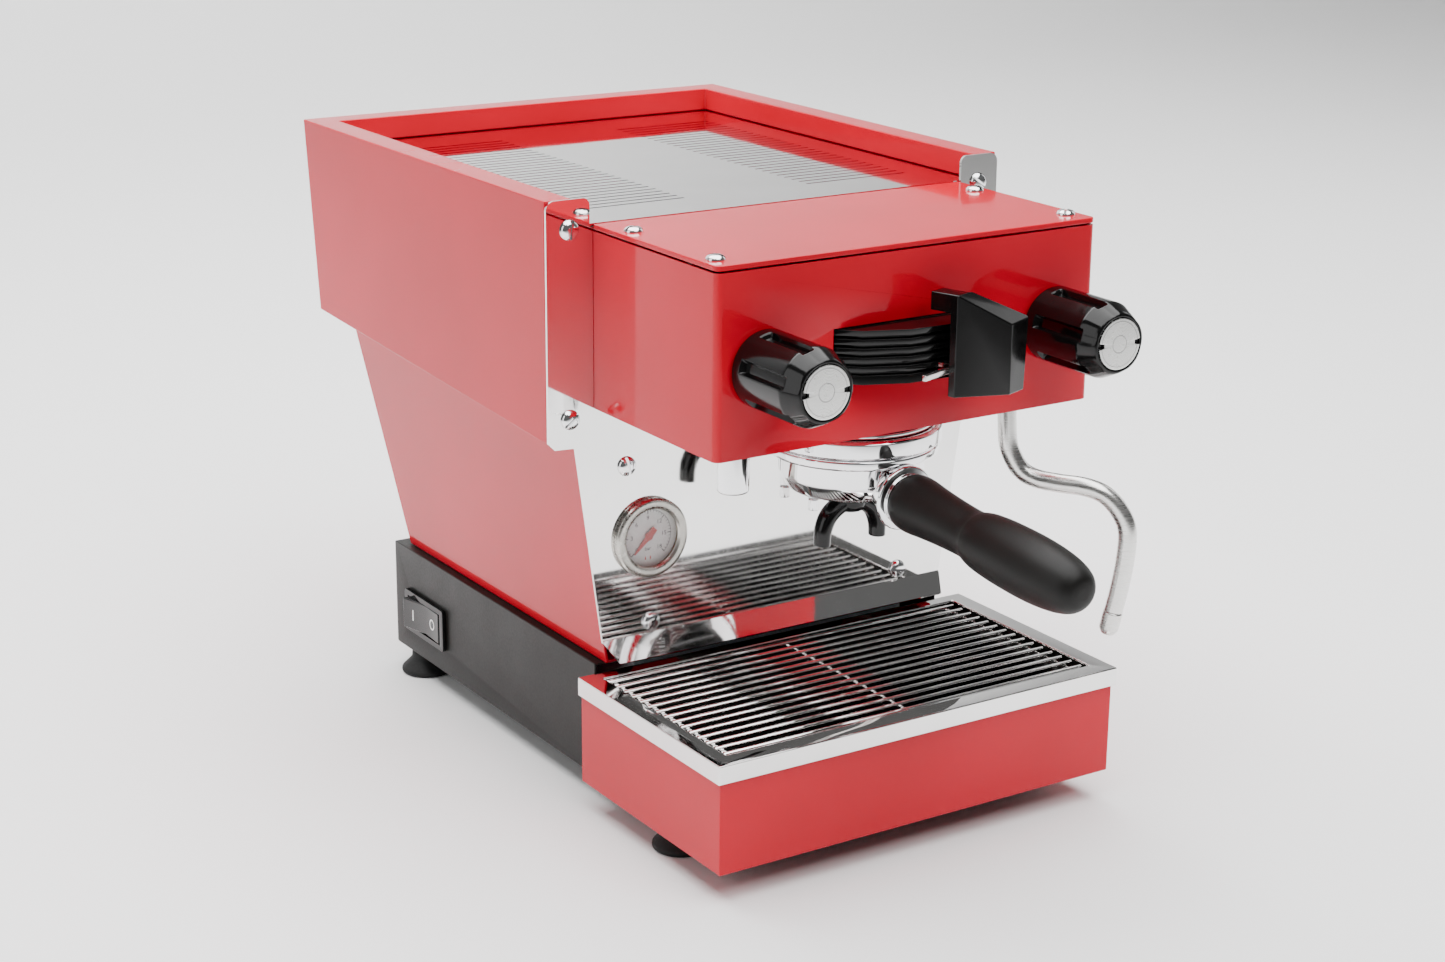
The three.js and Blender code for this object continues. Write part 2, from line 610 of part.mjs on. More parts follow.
function knob(side) {
  const x = side * KNOB_X;
  const body = turnedY(
    [
      [0, KNOB_BACK], [KNOB_R, KNOB_BACK], [KNOB_R, KNOB_FRONT + 9], [CAP_R + 3, KNOB_FRONT + 0.6],
      [CAP_R + 2.2, KNOB_FRONT], [0, KNOB_FRONT],
    ],
    x, KNOB_Z, 24,
  );
  const flutes = [];
  for (let i = 0; i < KNOB_FLUTES; i += 1) {
    const groove = box(-3.2, 3.2, KNOB_FRONT + 14, KNOB_BACK - 9, KNOB_R - 3.4, KNOB_R + 2);
    flutes.push(groove.rotate([0, (360 / KNOB_FLUTES) * (i + 0.5), 0]).translate([x, 0, KNOB_Z]));
  }
  const seat = rodY(CAP_R + GAP, KNOB_FRONT - 1, KNOB_FRONT + 1.6, x, KNOB_Z, 24);
  const bore = rodY(STEM_R + GAP, KNOB_FRONT + 8, KNOB_BACK + 1, x, KNOB_Z, 16);
  return cut(body, ...flutes, seat, bore);
}

function knobCap(side) {
  const x = side * KNOB_X;
  const disc = rodY(CAP_R, KNOB_FRONT - 0.3, KNOB_FRONT + 1.3, x, KNOB_Z, 24);
  const notches = [-1, 1].map((end) =>
    box(
      x + end * CAP_R - 3.4, x + end * CAP_R + 3.4, KNOB_FRONT - 1, KNOB_FRONT + 2, KNOB_Z - 1.5,
        KNOB_Z + 1.5,
    ),
  );
  return cut(disc, ...notches);
}

const VALVE_FRONT = -HOUSING_DEPTH + 6;
const VALVE_BACK = VALVE_FRONT + 40;

const valveStem = (side) => {
  return rodY(STEM_R, KNOB_FRONT + 8.4, VALVE_FRONT + 14, side * KNOB_X, KNOB_Z, 16);
};

// The valve body: a block round the stem, a pipe back into the machine and a neck down to the outlet.
function valveBody(side, neckBottom, neckRadius) {
  const x = side * KNOB_X;
  const block = rodY(13, VALVE_FRONT, VALVE_BACK, x, KNOB_Z, 24);
  const bore = rodY(STEM_R + GAP, VALVE_FRONT - 1, VALVE_FRONT + 15, x, KNOB_Z, 16);
  const pipe = rodY(PIPE_R, VALVE_BACK - 2, 30, x, KNOB_Z, 12);
  const neck = rod(neckRadius, neckBottom, KNOB_Z - 4, side * OUTLET_X, OUTLET_Y, 24);
  return cut(join(block, pipe, neck), bore);
}

// ---- brew paddle: a finned drum on a vertical spindle, with a steel lever and a handle ----
function brewDrum() {
  const core = DRUM_R - FIN_DEPTH;
  const finPitch = DRUM_HEIGHT / FIN_COUNT;
  const profile = [[0, DRUM_TOP], [DRUM_R, DRUM_TOP]];
  for (let i = 0; i < FIN_COUNT; i += 1) {
    const top = DRUM_TOP - i * finPitch;
    const last = i === FIN_COUNT - 1;
    profile.push([DRUM_R, top - finPitch * 0.62]);
    if (last) break;
    profile.push([core, top - finPitch * 0.7], [core, top - finPitch * 0.92], [DRUM_R, top - finPitch]);
  }
  profile.push([DRUM_R, DRUM_BOTTOM], [core - 5, DRUM_BOTTOM], [core - 5, DRUM_TOP - 4], [0, DRUM_TOP - 4]);
  const wheel = turned(profile, 0, 0, DRUM_SIDES).rotate([0, 0, 180 / DRUM_SIDES]);
  const front = [[-70, 8], [-90, -20], [-60, -90], [60, -90], [90, -20], [70, 8]];
  const wedge = prismZ(front, DRUM_BOTTOM - 1, DRUM_TOP + 1);
  const hub = rod(SPINDLE_R + 6, DRUM_BOTTOM, DRUM_TOP - 1, 0, 0, 24);
  const bore = rod(SPINDLE_R + GAP, DRUM_BOTTOM - 1, DRUM_TOP - 5, 0, 0, 20);
  const slot = box(-LEVER_HALF - 9, LEVER_HALF + 14, -DRUM_R - 2, -core + 6, LEVER_Z - 3.4, LEVER_Z + 3.4);
  const made = cut(join(wheel.intersect(wedge), hub), bore, slot);
  return aboutGroup(made.translate([0, GROUP_Y, 0]), PADDLE_ANGLE);
}

const LEVER_HALF = 9;
const LEVER_ARM = 38; // how far the arm reaches to the left
const LEVER_Z = DRUM_BOTTOM + 5;
const HANDLE_BACK = GROUP_Y - DRUM_R - 3.2; // the paddle's back edge, before the drum is turned

// Flat steel bar from inside the drum's slot to the paddle, with an arm along the drum's front.
function paddleLever() {
  const [low, high] = [LEVER_Z - 1.5, LEVER_Z + 1.5];
  const bar = box(-LEVER_HALF, LEVER_HALF, HANDLE_BACK - 5, GROUP_Y - DRUM_R + 14, low, high);
  const arm = box(-LEVER_ARM, -LEVER_HALF + 1, HANDLE_BACK + GAP, HANDLE_BACK + 2.6, low, high);
  return aboutGroup(join(bar, arm), PADDLE_ANGLE);
}

// The paddle: a thick slanted blade whose top falls to the front, with a nose reaching back over the
// drum and, low down behind the blade, the block that takes the lever.
const BLADE_LEFT = -19;
const BLADE_FOLD = 4.2; // where the wide slanted face meets the narrow front
const BLADE_RIGHT = 21.8;
const BLADE_TOP = KNOB_Z + 30;
const BLADE_DROP = 16; // from the nose's top down to the front of the blade's top
const BLADE_BOTTOM = KNOB_Z - 22.3;
const BLADE_LEAN = 3.6; // the right side is this much narrower at the bottom
const NOSE_WIDTH = 10.8;
const NOSE_HEIGHT = 9.5;
const NOSE_REACH = 12;

function paddleHandle() {
  const [left, fold, right, back] = [BLADE_LEFT, BLADE_FOLD, BLADE_RIGHT, HANDLE_BACK];
  const [start, front, above] = [back - 4.2, back - 21.7, BLADE_TOP + 8];
  const plan = [
    [left, start], [fold, front], [right, front + 0.8], [right, back], [left, back],
  ];
  const blade = prismZ(plan, BLADE_BOTTOM, BLADE_TOP);
  const fall = BLADE_DROP / (start - front);
  const slope = prismX(
    [
      [start, BLADE_TOP], [front - 2, BLADE_TOP - BLADE_DROP - 2 * fall],
      [front - 2, above], [start, above],
    ],
    left - 5, right + 5,
  );
  const side = prismY(
    [
      [right, above], [right - BLADE_LEAN, BLADE_BOTTOM - 1],
      [right + 5, BLADE_BOTTOM - 1], [right + 5, above],
    ],
    back - 30, back + 30,
  );
  const behind = prismZ(
    [
      [left + NOSE_WIDTH, start + 1.2], [right + 1, front + 0.6],
      [right + 5, back + 5], [left + NOSE_WIDTH, back + 5],
    ],
    LEVER_Z + 8, above,
  );
  const nose = box(left, left + NOSE_WIDTH, start, back + NOSE_REACH, BLADE_TOP - NOSE_HEIGHT, BLADE_TOP);
  const half = LEVER_HALF + GAP;
  const pocket = box(-half, half, back - 5.4, back + 1, LEVER_Z - 1.8, LEVER_Z + 1.8);
  return aboutGroup(cut(join(cut(blade, slope, side, behind), nose), pocket), PADDLE_ANGLE);
}

const HEAD_TOP = 252;

const brewSpindle = () => rod(SPINDLE_R, HEAD_TOP + GAP, DRUM_TOP - 5.4, 0, GROUP_Y, 20);

// ---- group head ----
function groupHead() {
  const seat = GASKET_TOP;
  const [screen, neck] = [SCREEN_R + 0.4, 34];
  const bell = turned(
    [
      [0, HEAD_TOP], [22, HEAD_TOP], [neck, HEAD_TOP - 8], [neck, GROUP_RING_TOP + 8],
      [40, GROUP_RING_TOP + 4],
      [40, GROUP_RING_TOP + GAP], [screen + 1, GROUP_RING_TOP + GAP], [screen + 1, seat + GAP],
      [0, seat + GAP],
    ],
    0, GROUP_Y, 28,
  );
  const neckPipe = rodY(NECK_R, GROUP_Y + 20, BOILER_Y - BOILER_R - GAP, 0, NECK_Z, 24);
  return join(bell, neckPipe);
}

const LUG_R = 38.5;
const LUG_ANGLE = 34;
const LUG_BOTTOM = GROUP_RING_BOTTOM + 2.5;
const LUG_TOP = LUG_BOTTOM + 3;
const UNLOCK = 50; // how far the portafilter turns from locked to free
const SCREEN_R = 29.5;
const GASKET_TOP = GROUP_RING_TOP + 2;
const GASKET_BOTTOM = GROUP_RING_TOP - 4;

// A wedge of a flat disc, centred on the direction given in degrees from +X.
function sector(radius, middle, width, z0, z1) {
  const points = [[0, 0]];
  for (let i = 0; i <= 4; i += 1) {
    const angle = radians(middle - width / 2 + (width * i) / 4);
    points.push([radius * Math.cos(angle), radius * Math.sin(angle)]);
  }
  return prismZ(points, z0, z1).translate([0, GROUP_Y, 0]);
}

// The ring that the portafilter locks into: a ledge with two ways in, and a groove above it.
function groupRing() {
  const ledge = LUG_R - 2.4;
  const ring = turned(
    [
      [ledge, GROUP_RING_BOTTOM], [GROUP_RING_R - 1, GROUP_RING_BOTTOM],
      [GROUP_RING_R, GROUP_RING_BOTTOM + 1],
      [GROUP_RING_R, GROUP_RING_TOP - 1], [GROUP_RING_R - 1, GROUP_RING_TOP], [LUG_R + 0.5, GROUP_RING_TOP],
      [LUG_R + 0.5, LUG_BOTTOM - GAP], [ledge, LUG_BOTTOM - GAP], [ledge, GROUP_RING_BOTTOM],
    ],
    0, GROUP_Y, 32,
  );
  const ways = [0, 180].map((way) =>
    sector(LUG_R + 0.5, way - UNLOCK, LUG_ANGLE + 6, GROUP_RING_BOTTOM - 1, LUG_BOTTOM + 1),
  );
  return cut(ring, ...ways);
}

const gasket = () =>
  turned(
    [[SCREEN_R + 1, GASKET_BOTTOM], [LUG_R - 2, GASKET_BOTTOM], [LUG_R - 2, GROUP_RING_TOP],
      [SCREEN_R + 1, GROUP_RING_TOP], [SCREEN_R + 1, GASKET_BOTTOM]],
    0, GROUP_Y, 28,
  );

function showerScreen() {
  const [low, high] = [GASKET_BOTTOM + 0.5, GROUP_RING_TOP + 1];
  const cup = turned(
    [[2.6, low], [SCREEN_R, low], [SCREEN_R, high], [SCREEN_R - 1, high], [SCREEN_R - 1, low + 1],
      [2.6, low + 1], [2.6, low]],
    0, GROUP_Y, 28,
  );
  return cup;
}

const screenScrew = () =>
  turned(
    [[0, GASKET_BOTTOM - 1], [5, GASKET_BOTTOM - 1], [5, GASKET_BOTTOM + 0.2], [2.2, GASKET_BOTTOM + 0.2],
      [2.2, GASKET_TOP], [0, GASKET_TOP]],
    0, GROUP_Y, 16,
  );

// ---- portafilter ----
const FILTER_RIM_TOP = GROUP_RING_BOTTOM - 0.5;
const FILTER_RIM_BOTTOM = FILTER_RIM_TOP - FILTER_RIM_HEIGHT;
const BOWL_BOTTOM = FILTER_RIM_BOTTOM - BOWL_HEIGHT;
const FILTER_TOP = GASKET_BOTTOM - 0.8;
const HANDLE_Z = FILTER_RIM_BOTTOM - 12; // height of the handle's line at the group axis

// Lays a solid turned about the X axis line along the handle: distances run from the group axis.
const alongHandle = (solid) =>
  solid.rotate([90, 0, 0]).rotate([HANDLE_TILT, 0, 0]).translate([0, GROUP_Y, HANDLE_Z]);

const handleTurned = (profile, segments) =>
  alongHandle(turned(profile.map(([radius, along]) => [radius, along]), 0, 0, segments));

function portafilterBody() {
  const inside = BASKET_R + 2.4;
  const bowl = turned(
    [
      [0, BOWL_BOTTOM], [27, BOWL_BOTTOM], [34, BOWL_BOTTOM + 4], [BOWL_R, BOWL_BOTTOM + 12],
      [BOWL_R, FILTER_RIM_BOTTOM - 0.5], [FILTER_RIM_R, FILTER_RIM_BOTTOM + 0.5],
      [FILTER_RIM_R, FILTER_RIM_TOP - 0.6], [FILTER_RIM_R - 0.8, FILTER_RIM_TOP],
      [LUG_R - 4, FILTER_RIM_TOP], [LUG_R - 4, FILTER_TOP - 1], [inside, FILTER_TOP - 1],
      [inside, BOWL_BOTTOM + 6], [inside - 5, BOWL_BOTTOM + 3.5], [0, BOWL_BOTTOM + 3.5],
    ],
    0, GROUP_Y, 32,
  );
  const lugs = [0, 180].map((way) =>
    cut(
      sector(LUG_R, way, LUG_ANGLE, LUG_BOTTOM, LUG_TOP),
      rod(LUG_R - 5, LUG_BOTTOM - 1, LUG_TOP + 1, 0, GROUP_Y, 28),
    ),
  );
  const neck = cut(
    handleTurned([[0, inside + 2], [10.5, inside + 2], [8.5, HANDLE_START - 1], [5, HANDLE_START - 1],
      [5, HANDLE_START + 40], [0, HANDLE_START + 40]], 20),
    rod(inside, BOWL_BOTTOM + 3.5, FILTER_TOP, 0, GROUP_Y, 32),
  );
  const outlet = rod(3.5, BOWL_BOTTOM - 1, BOWL_BOTTOM + 6, 0, GROUP_Y, 16);
  return cut(join(bowl, ...lugs, neck), outlet);
}

function filterBasket() {
  const low = BOWL_BOTTOM + 7.5;
  return turned(
    [
      [0, low], [BASKET_R - 2, low], [BASKET_R, low + 3], [BASKET_R, FILTER_TOP - 0.7],
      [LUG_R - 5, FILTER_TOP - 0.7], [LUG_R - 5, FILTER_TOP + 0.3], [BASKET_R - 0.8, FILTER_TOP + 0.3],
      [BASKET_R - 0.8, low + 3], [BASKET_R - 2.6, low + 0.8], [0, low + 0.8],
    ],
    0, GROUP_Y, 28,
  );
}

// Boss under the bowl with two arched arms whose ends are open above the cups.
function doubleSpout() {
  const top = BOWL_BOTTOM - GAP;
  const tip = top - SPOUT_DROP;
  const [inner, outer] = [SPOUT_SPREAD - 4.5, SPOUT_SPREAD + 4.5];
  const arch = new THREE.Shape();
  arch.moveTo(-outer, tip);
  arch.lineTo(-inner, tip);
  arch.quadraticCurveTo(-inner, top - 14, 0, top - 11);
  arch.quadraticCurveTo(inner, top - 14, inner, tip);
  arch.lineTo(outer, tip);
  arch.quadraticCurveTo(outer, top - 4, 0, top - 2.5);
  arch.quadraticCurveTo(-outer, top - 4, -outer, tip);
  const arms = prismY(arch, GROUP_Y - 5.5, GROUP_Y + 5.5);
  const boss = rod(8.5, top - 10, top, 0, GROUP_Y, 20);
  const channels = [-1, 1].map((side) =>
    rod(2.6, tip - 1, tip + 9, side * SPOUT_SPREAD, GROUP_Y, 10),
  );
  return cut(join(arms, boss), ...channels, rod(3, top - 5, top + 1, 0, GROUP_Y, 12));
}

const handleFerrule = () =>
  handleTurned(
    [[5.4, HANDLE_START - 0.6], [16.5, HANDLE_START - 0.6], [17.5, HANDLE_START + 0.4],
    [16.5, HANDLE_START + 1.6],
      [13.5, HANDLE_START + 2], [13.5, HANDLE_START + 4], [5.4, HANDLE_START + 4], [5.4, HANDLE_START - 0.6]],
    24,
  );

function handleGrip() {
  const start = HANDLE_START + 4.4;
  const bore = 5.4;
  return cut(
    handleTurned(
      [
        [0, start], [12.5, start], [14.8, start + 3], [15.3, start + 8], [14.2, start + 21],
        [13.1, start + 37],
        [12.6, start + 50], [12.9, start + 56], [14.3, start + 62], [15.7, start + 74],
        [HANDLE_R, start + 92],
        [HANDLE_R, start + 102], [15.5, start + 117], [12.6, start + 129],
        [7.5, HANDLE_START + HANDLE_LENGTH - 3],
        [0, HANDLE_START + HANDLE_LENGTH],
      ],
      20,
    ),
    handleTurned([[0, start - 1], [bore, start - 1], [bore, HANDLE_START + 41], [0, HANDLE_START + 41]], 12),
  );
}

// Short drain pipe from the group's solenoid valve, through the housing's floor.
const DRAIN_Y = -14;
const DRAIN_R = 3;
const DRAIN_CLEAR = 4.9; // from the group ring to the drain
const drainReach = GROUP_RING_R + DRAIN_R + DRAIN_CLEAR;
const DRAIN_SIDE = 13.5; // at least this far from the middle, clear of the head's neck
const sideways = Math.sqrt(Math.max(0, drainReach ** 2 - (DRAIN_Y - GROUP_Y) ** 2));
const DRAIN_X = Math.max(DRAIN_SIDE, sideways);

const drainNozzle = () => {
  const [end, floor] = [152, HOUSING_BOTTOM + SHEET + GAP];
  return turned(
    [
      [1.8, end], [DRAIN_R, end], [DRAIN_R, floor], [DRAIN_R + 3, floor], [DRAIN_R + 3, floor + 4],
      [0, floor + 4],
      [0, end + 8], [1.8, end + 8], [1.8, end],
    ],
    DRAIN_X, DRAIN_Y, 14,
  );
};

// ---- hot water spout and steam wand ----
function waterSpout() {
  const top = KNOB_Z - 36;
  return turned(
    [
      [5.5, SPOUT_END], [SPOUT_R - 0.8, SPOUT_END], [SPOUT_R, SPOUT_END + 1], [SPOUT_R, top], [0, top],
      [0, SPOUT_END + 1.5], [5.5, SPOUT_END + 1.5], [5.5, SPOUT_END],
    ],
    -OUTLET_X, OUTLET_Y, 24,
  );
}

// Ring under the steam valve that turns with the wand and holds its ball.
const wandSocket = () => {
  const [bore, outer, low] = [WAND_BALL_R + 0.5, WAND_BALL_R + 3, WAND_BALL_Z - 5];
  const high = WAND_BALL_Z + 5.6;
  return turned(
    [[bore, high], [bore, low + 2.5], [WAND_BALL_R - 0.1, low], [outer, low], [outer, high], [bore, high]],
    OUTLET_X, OUTLET_Y, 24,
  );
};

// Points of the wand's centre line: distance outwards and height.
const WAND_LINE = [[0, WAND_BALL_Z], [0.2, 222], [0.6, 213], [1.7, 199], [4.2, 191], [9.4, 183],
  [17.7, 178.6],
  [30, 176.7], [43.7, 175.5], [54.6, 171.8], [63, 163.4], [67.9, 152.4], [67.7, 136.4], [65.4, 119],
  [62.9, 106]];

function wandCurve() {
  const [alongX, alongY] = [Math.cos(radians(WAND_TURN)), -Math.sin(radians(WAND_TURN))];
  const points = WAND_LINE.map(
    ([out, height]) => new THREE.Vector3(OUTLET_X + out * alongX, OUTLET_Y + out * alongY, height),
  );
  return new THREE.CatmullRomCurve3(points, false, "centripetal");
}

function wandTube() {
  const corners = [];
  for (let i = 0; i < 9; i += 1) {
    const angle = radians(40 * i);
    corners.push([WAND_R * Math.cos(angle), WAND_R * Math.sin(angle)]);
  }
  const options = { extrudePath: wandCurve(), steps: 32, bevelEnabled: false };
  const ball = solidFrom(new THREE.SphereGeometry(WAND_BALL_R, 16, 10));
  const tube = solidFrom(new THREE.ExtrudeGeometry(shapeOf(corners), options));
  return join(tube, ball.translate([OUTLET_X, OUTLET_Y, WAND_BALL_Z]));
}

// The tip carries on in the direction in which the tube ends.
function wandTip() {
  const curve = wandCurve();
  const [end, direction] = [curve.getPoint(1), curve.getTangent(1)];
  const shape = turned(
    [[0, GAP], [WAND_R - 0.4, GAP], [WAND_R + 0.3, 1.2], [WAND_R + 0.3, WAND_TIP - 3],
    [WAND_R - 1.6, WAND_TIP], [0, WAND_TIP]],
    0, 0, 20,
  );
  const turn = new THREE.Quaternion().setFromUnitVectors(new THREE.Vector3(0, 0, 1), direction);
  const place = new THREE.Matrix4().compose(end, turn, new THREE.Vector3(1, 1, 1));
  return shape.transform(place.elements);
}

// ---- drip tray ----
const TRAY_REAR = -0.5;
const TRAY_BOTTOM = FLOOR_TOP + 0.5;

function trayBox() {
  const half = TRAY_WIDTH / 2;
  const shell = box(-half, half, TRAY_FRONT, TRAY_REAR, TRAY_BOTTOM, TRAY_TOP);
  const inside = box(
    -half + SHEET, half - SHEET, TRAY_FRONT + SHEET, TRAY_REAR - SHEET, TRAY_BOTTOM + SHEET, TRAY_TOP + 1,
  );
  return cut(shell, inside);
}

const FRAME_HALF = TRAY_WIDTH / 2 + FRAME_OVERHANG;
const FRAME_FRONT = TRAY_FRONT - FRAME_OVERHANG;
const FRAME_REAR = TRAY_REAR + 0.4;

function trayFrame() {
  const rim = box(-FRAME_HALF, FRAME_HALF, FRAME_FRONT, FRAME_REAR, TRAY_TOP + GAP, FRAME_TOP);
  const inner = FRAME_HALF - FRAME_RAIL;
  const eye = box(-inner, inner, FRAME_FRONT + FRAME_RAIL, FRAME_REAR - 8.5, TRAY_TOP, FRAME_TOP + 1);
  const under = box(
    -FRAME_HALF + SHEET, FRAME_HALF - SHEET, FRAME_FRONT + SHEET, FRAME_REAR - SHEET, TRAY_TOP,
      FRAME_TOP - SHEET,
  );
  return cut(rim, eye, under);
}

const LINER_TOP = FRAME_TOP - SHEET - GAP;
const GRILL_TOP = FRAME_TOP - 0.9;
const GRILL_HEIGHT = 4.9;
const LEDGE_Z = GRILL_TOP - GRILL_HEIGHT - GAP;

function trayLiner() {
  const half = TRAY_WIDTH / 2 - SHEET - 2;
  const [front, rear, low] = [TRAY_FRONT + SHEET + 2, TRAY_REAR - SHEET - 2, TRAY_BOTTOM + SHEET + GAP];
  const rail = FRAME_HALF - FRAME_RAIL - 1;
  const shell = box(-half, half, front, rear, low, LINER_TOP);
  const mouth = box(-half + SHEET, half - SHEET, front + SHEET, rear - SHEET, LEDGE_Z, LINER_TOP + 1);
  const well = box(-rail + 9, rail - 9, front + 10, rear - 8, low + SHEET, LEDGE_Z + 1);
  const under = cut(
    box(-half - 1, half + 1, front - 1, rear + 1, low - 1, LEDGE_Z - SHEET),
    box(-rail + 9 - SHEET, rail - 9 + SHEET, front + 10 - SHEET, rear - 8 + SHEET, low - 2, LEDGE_Z + 2),
  );
  return cut(shell, mouth, well, under);
}

// Wires across, welded on rods from front to rear, with a thicker bar along the front and the rear.
function dripGrill() {
  const top = GRILL_TOP;
  const reach = FRAME_HALF - FRAME_RAIL - 1.6;
  const first = FRAME_FRONT + FRAME_RAIL + 5.2;
  const wires = [];
  for (let i = 0; i < WIRE_COUNT; i += 1) {
    wires.push(rodX(WIRE_RADIUS, -reach, reach, first + i * WIRE_PITCH, top - WIRE_RADIUS, 6));
  }
  const last = first + (WIRE_COUNT - 1) * WIRE_PITCH;
  const bars = [first - 3.3, last + 8.6].map((y) => box(-reach, reach, y - 1.5, y + 1.5, top - 3.4,
    top - 0.2));
  const rods = [-reach + 3.9, 0, reach - 3.9].map((x) =>
    box(x - 1.4, x + 1.4, first - 3.3, last + 8.6, top - GRILL_HEIGHT, top - 2),
  );
  return join(wires[0], ...rods, ...wires.slice(1), ...bars);
}

// ---- water tank, in the base behind the drip tray ----
function waterTank() {
  const [front, rear, low, high] = [BASE_FRONT + 4, BASE_REAR - 40, FLOOR_TOP + 1,
    BASE_TOP - 2 * SHEET - 1.5];
  const outer = box(-TANK_HALF, TANK_HALF, front, rear, low, high);
  const inner = box(
    -TANK_HALF + TANK_WALL, TANK_HALF - TANK_WALL, front + TANK_WALL + 6, rear - TANK_WALL,
      low + TANK_WALL, high + 1,
  );
  const pull = prismY(roundRect(0, high - 20, 80, 18, 6), front - 1, front + 5);
  return cut(outer, inner, pull);
}

// ---- inside the body ----
const SHELF_TOP = BODY_BOTTOM_FRONT - 8;
const BOILER_R = 36;
const BOILER_Y = 58;
const STEAM_R = 46;
const STEAM_Y = 168;
const STEAM_HALF = 82;

function innerShelf() {
  const half = legX(SHELF_TOP - 12) - SHEET - 1;
  const plate = box(-half, half, BODY_FRONT + 1, 236, SHELF_TOP - SHEET, SHELF_TOP);
  const skirts = [-1, 1].map((side) => {
    const x = side * (half - SHEET / 2);
    return box(x - SHEET / 2, x + SHEET / 2, BODY_FRONT + 1, 236, SHELF_TOP - 12, SHELF_TOP);
  });
  return join(plate, ...skirts);
}

const coffeeBoiler = () =>
  turned(
    [
      [0, SHELF_TOP + GAP], [BOILER_R - 5, SHELF_TOP + GAP], [BOILER_R, SHELF_TOP + 6],
      [BOILER_R, SHELF_TOP + 88], [BOILER_R - 6, SHELF_TOP + 95], [12, SHELF_TOP + 95],
      [12, SHELF_TOP + 104], [0, SHELF_TOP + 104],
    ],
    0, BOILER_Y, 32,
  );

function steamBoiler() {
  const profile = [[0, -STEAM_HALF], [STEAM_R - 8, -STEAM_HALF], [STEAM_R, -STEAM_HALF + 8],
    [STEAM_R, STEAM_HALF - 8], [STEAM_R - 8, STEAM_HALF], [0, STEAM_HALF]];
  const drum = turned(profile, 0, 0, 28).rotate([0, 90, 0]).translate([0, STEAM_Y, SHELF_TOP + STEAM_R + 8]);
  const cradles = [-50, 50].map((x) =>
    box(x - 8, x + 8, STEAM_Y - 26, STEAM_Y + 26, SHELF_TOP + GAP, SHELF_TOP + 20),
  );
  return join(drum, ...cradles);
}

// Rotary pump and its motor in line, on a foot that stands on the base's deck.
function pump() {
  const [x, y, z] = [-48, 226, 118];
  const motor = rodY(28, 118, 186, x, z, 24);
  const head = rodY(20, 184, 218, x, z, 20);
  const pedestal = box(x - 22, x + 22, 124, 180, BASE_TOP + GAP, z - 18);
  const bridge = box(-BASE_WIDTH / 2 + 14.2, x + 22, 124, 180, BASE_TOP + GAP, BASE_TOP + 4);
  const port = rod(6, z, z + 30, x, y - 20, 12);
  return join(motor, head, pedestal, bridge, port);
}

const CONTROL_CLEAR = 14; // from the control box to the side panel's lower end

function controlBox() {
  const shell = box(20, LEG_BOTTOM_X - CONTROL_CLEAR, 70, 200, BASE_TOP + GAP, BASE_TOP + 62);
  const tab = box(60, BASE_WIDTH / 2 - 14, 80, 190, BASE_TOP + GAP, BASE_TOP + 3);
  return join(shell, tab);
}

// ---- the assembly ----
add("base_pan", basePan(), blackSheet);
add("foot_rear_left", foot(-FOOT_X, FOOT_REAR_Y), blackRubber);
add("foot_rear_right", foot(FOOT_X, FOOT_REAR_Y), blackRubber);
add("foot_front_left", foot(-FOOT_X, FOOT_FRONT_Y), blackRubber);
add("foot_front_right", foot(FOOT_X, FOOT_FRONT_Y), blackRubber);
add("power_inlet", powerInlet(), glossBlack);
add("switch_frame", switchFrame(), glossBlack);
add("switch_rocker", switchRocker(), glossBlack);
add("upper_shell", upperShell(), redPaint);
add("side_panel_left", sidePanel(-1), redPaint);
add("side_panel_right", sidePanel(1), redPaint);
add("rear_panel", rearPanel(), redPaint);
add("splash_plate", splashPlate(), mirrorSteel);
add("cup_plate", cupPlate(), mirrorSteel);
add("group_housing", groupHousing(), redPaint);
add("housing_lid", housingLid(), redPaint);
add("gauge_case", gaugeCase(), brass);
add("gauge_bezel", gaugeBezel(), brushedSteel);
add("gauge_dial", gaugeDial(), dialWhite);
add("gauge_needle", gaugeNeedle(), needleRed);
add("gauge_lens", gaugeLens(), clearGlass);
add("steam_knob", knob(1), glossBlack);
add("steam_knob_cap", knobCap(1), brushedSteel);
add("steam_valve_stem", valveStem(1), brass);
add("steam_valve", valveBody(1, WAND_BALL_Z + WAND_BALL_R + 0.6, 10), brass);
add("water_knob", knob(-1), glossBlack);
add("water_knob_cap", knobCap(-1), brushedSteel);
add("water_valve_stem", valveStem(-1), brass);
add("water_valve", valveBody(-1, KNOB_Z - 36 + GAP, 9), brass);
add("water_spout", waterSpout(), chrome);
add("wand_socket", wandSocket(), chrome);
add("wand_tube", wandTube(), brushedSteel);
add("wand_tip", wandTip(), brushedSteel);
add("brew_drum", brewDrum(), glossBlack);
add("paddle_lever", paddleLever(), brushedSteel);
add("paddle_handle", paddleHandle(), glossBlack);
add("brew_spindle", brewSpindle(), brushedSteel);
add("group_head", groupHead(), chrome);
add("group_ring", groupRing(), chrome);
add("drain_nozzle", drainNozzle(), chrome);
add("group_gasket", gasket(), blackRubber);
add("shower_screen", showerScreen(), brushedSteel);
add("screen_screw", screenScrew(), brushedSteel);
add("portafilter_body", portafilterBody(), chrome);
add("filter_basket", filterBasket(), brushedSteel);
add("double_spout", doubleSpout(), glossBlack);
add("handle_ferrule", handleFerrule(), chrome);
add("handle_grip", handleGrip(), gripRubber);
add("tray_box", trayBox(), redPaint);
add("tray_frame", trayFrame(), mirrorSteel);
add("tray_liner", trayLiner(), blackSheet);
add("drip_grill", dripGrill(), mirrorSteel);
add("water_tank", waterTank(), tankPlastic);
add("inner_shelf", innerShelf(), brushedSteel);
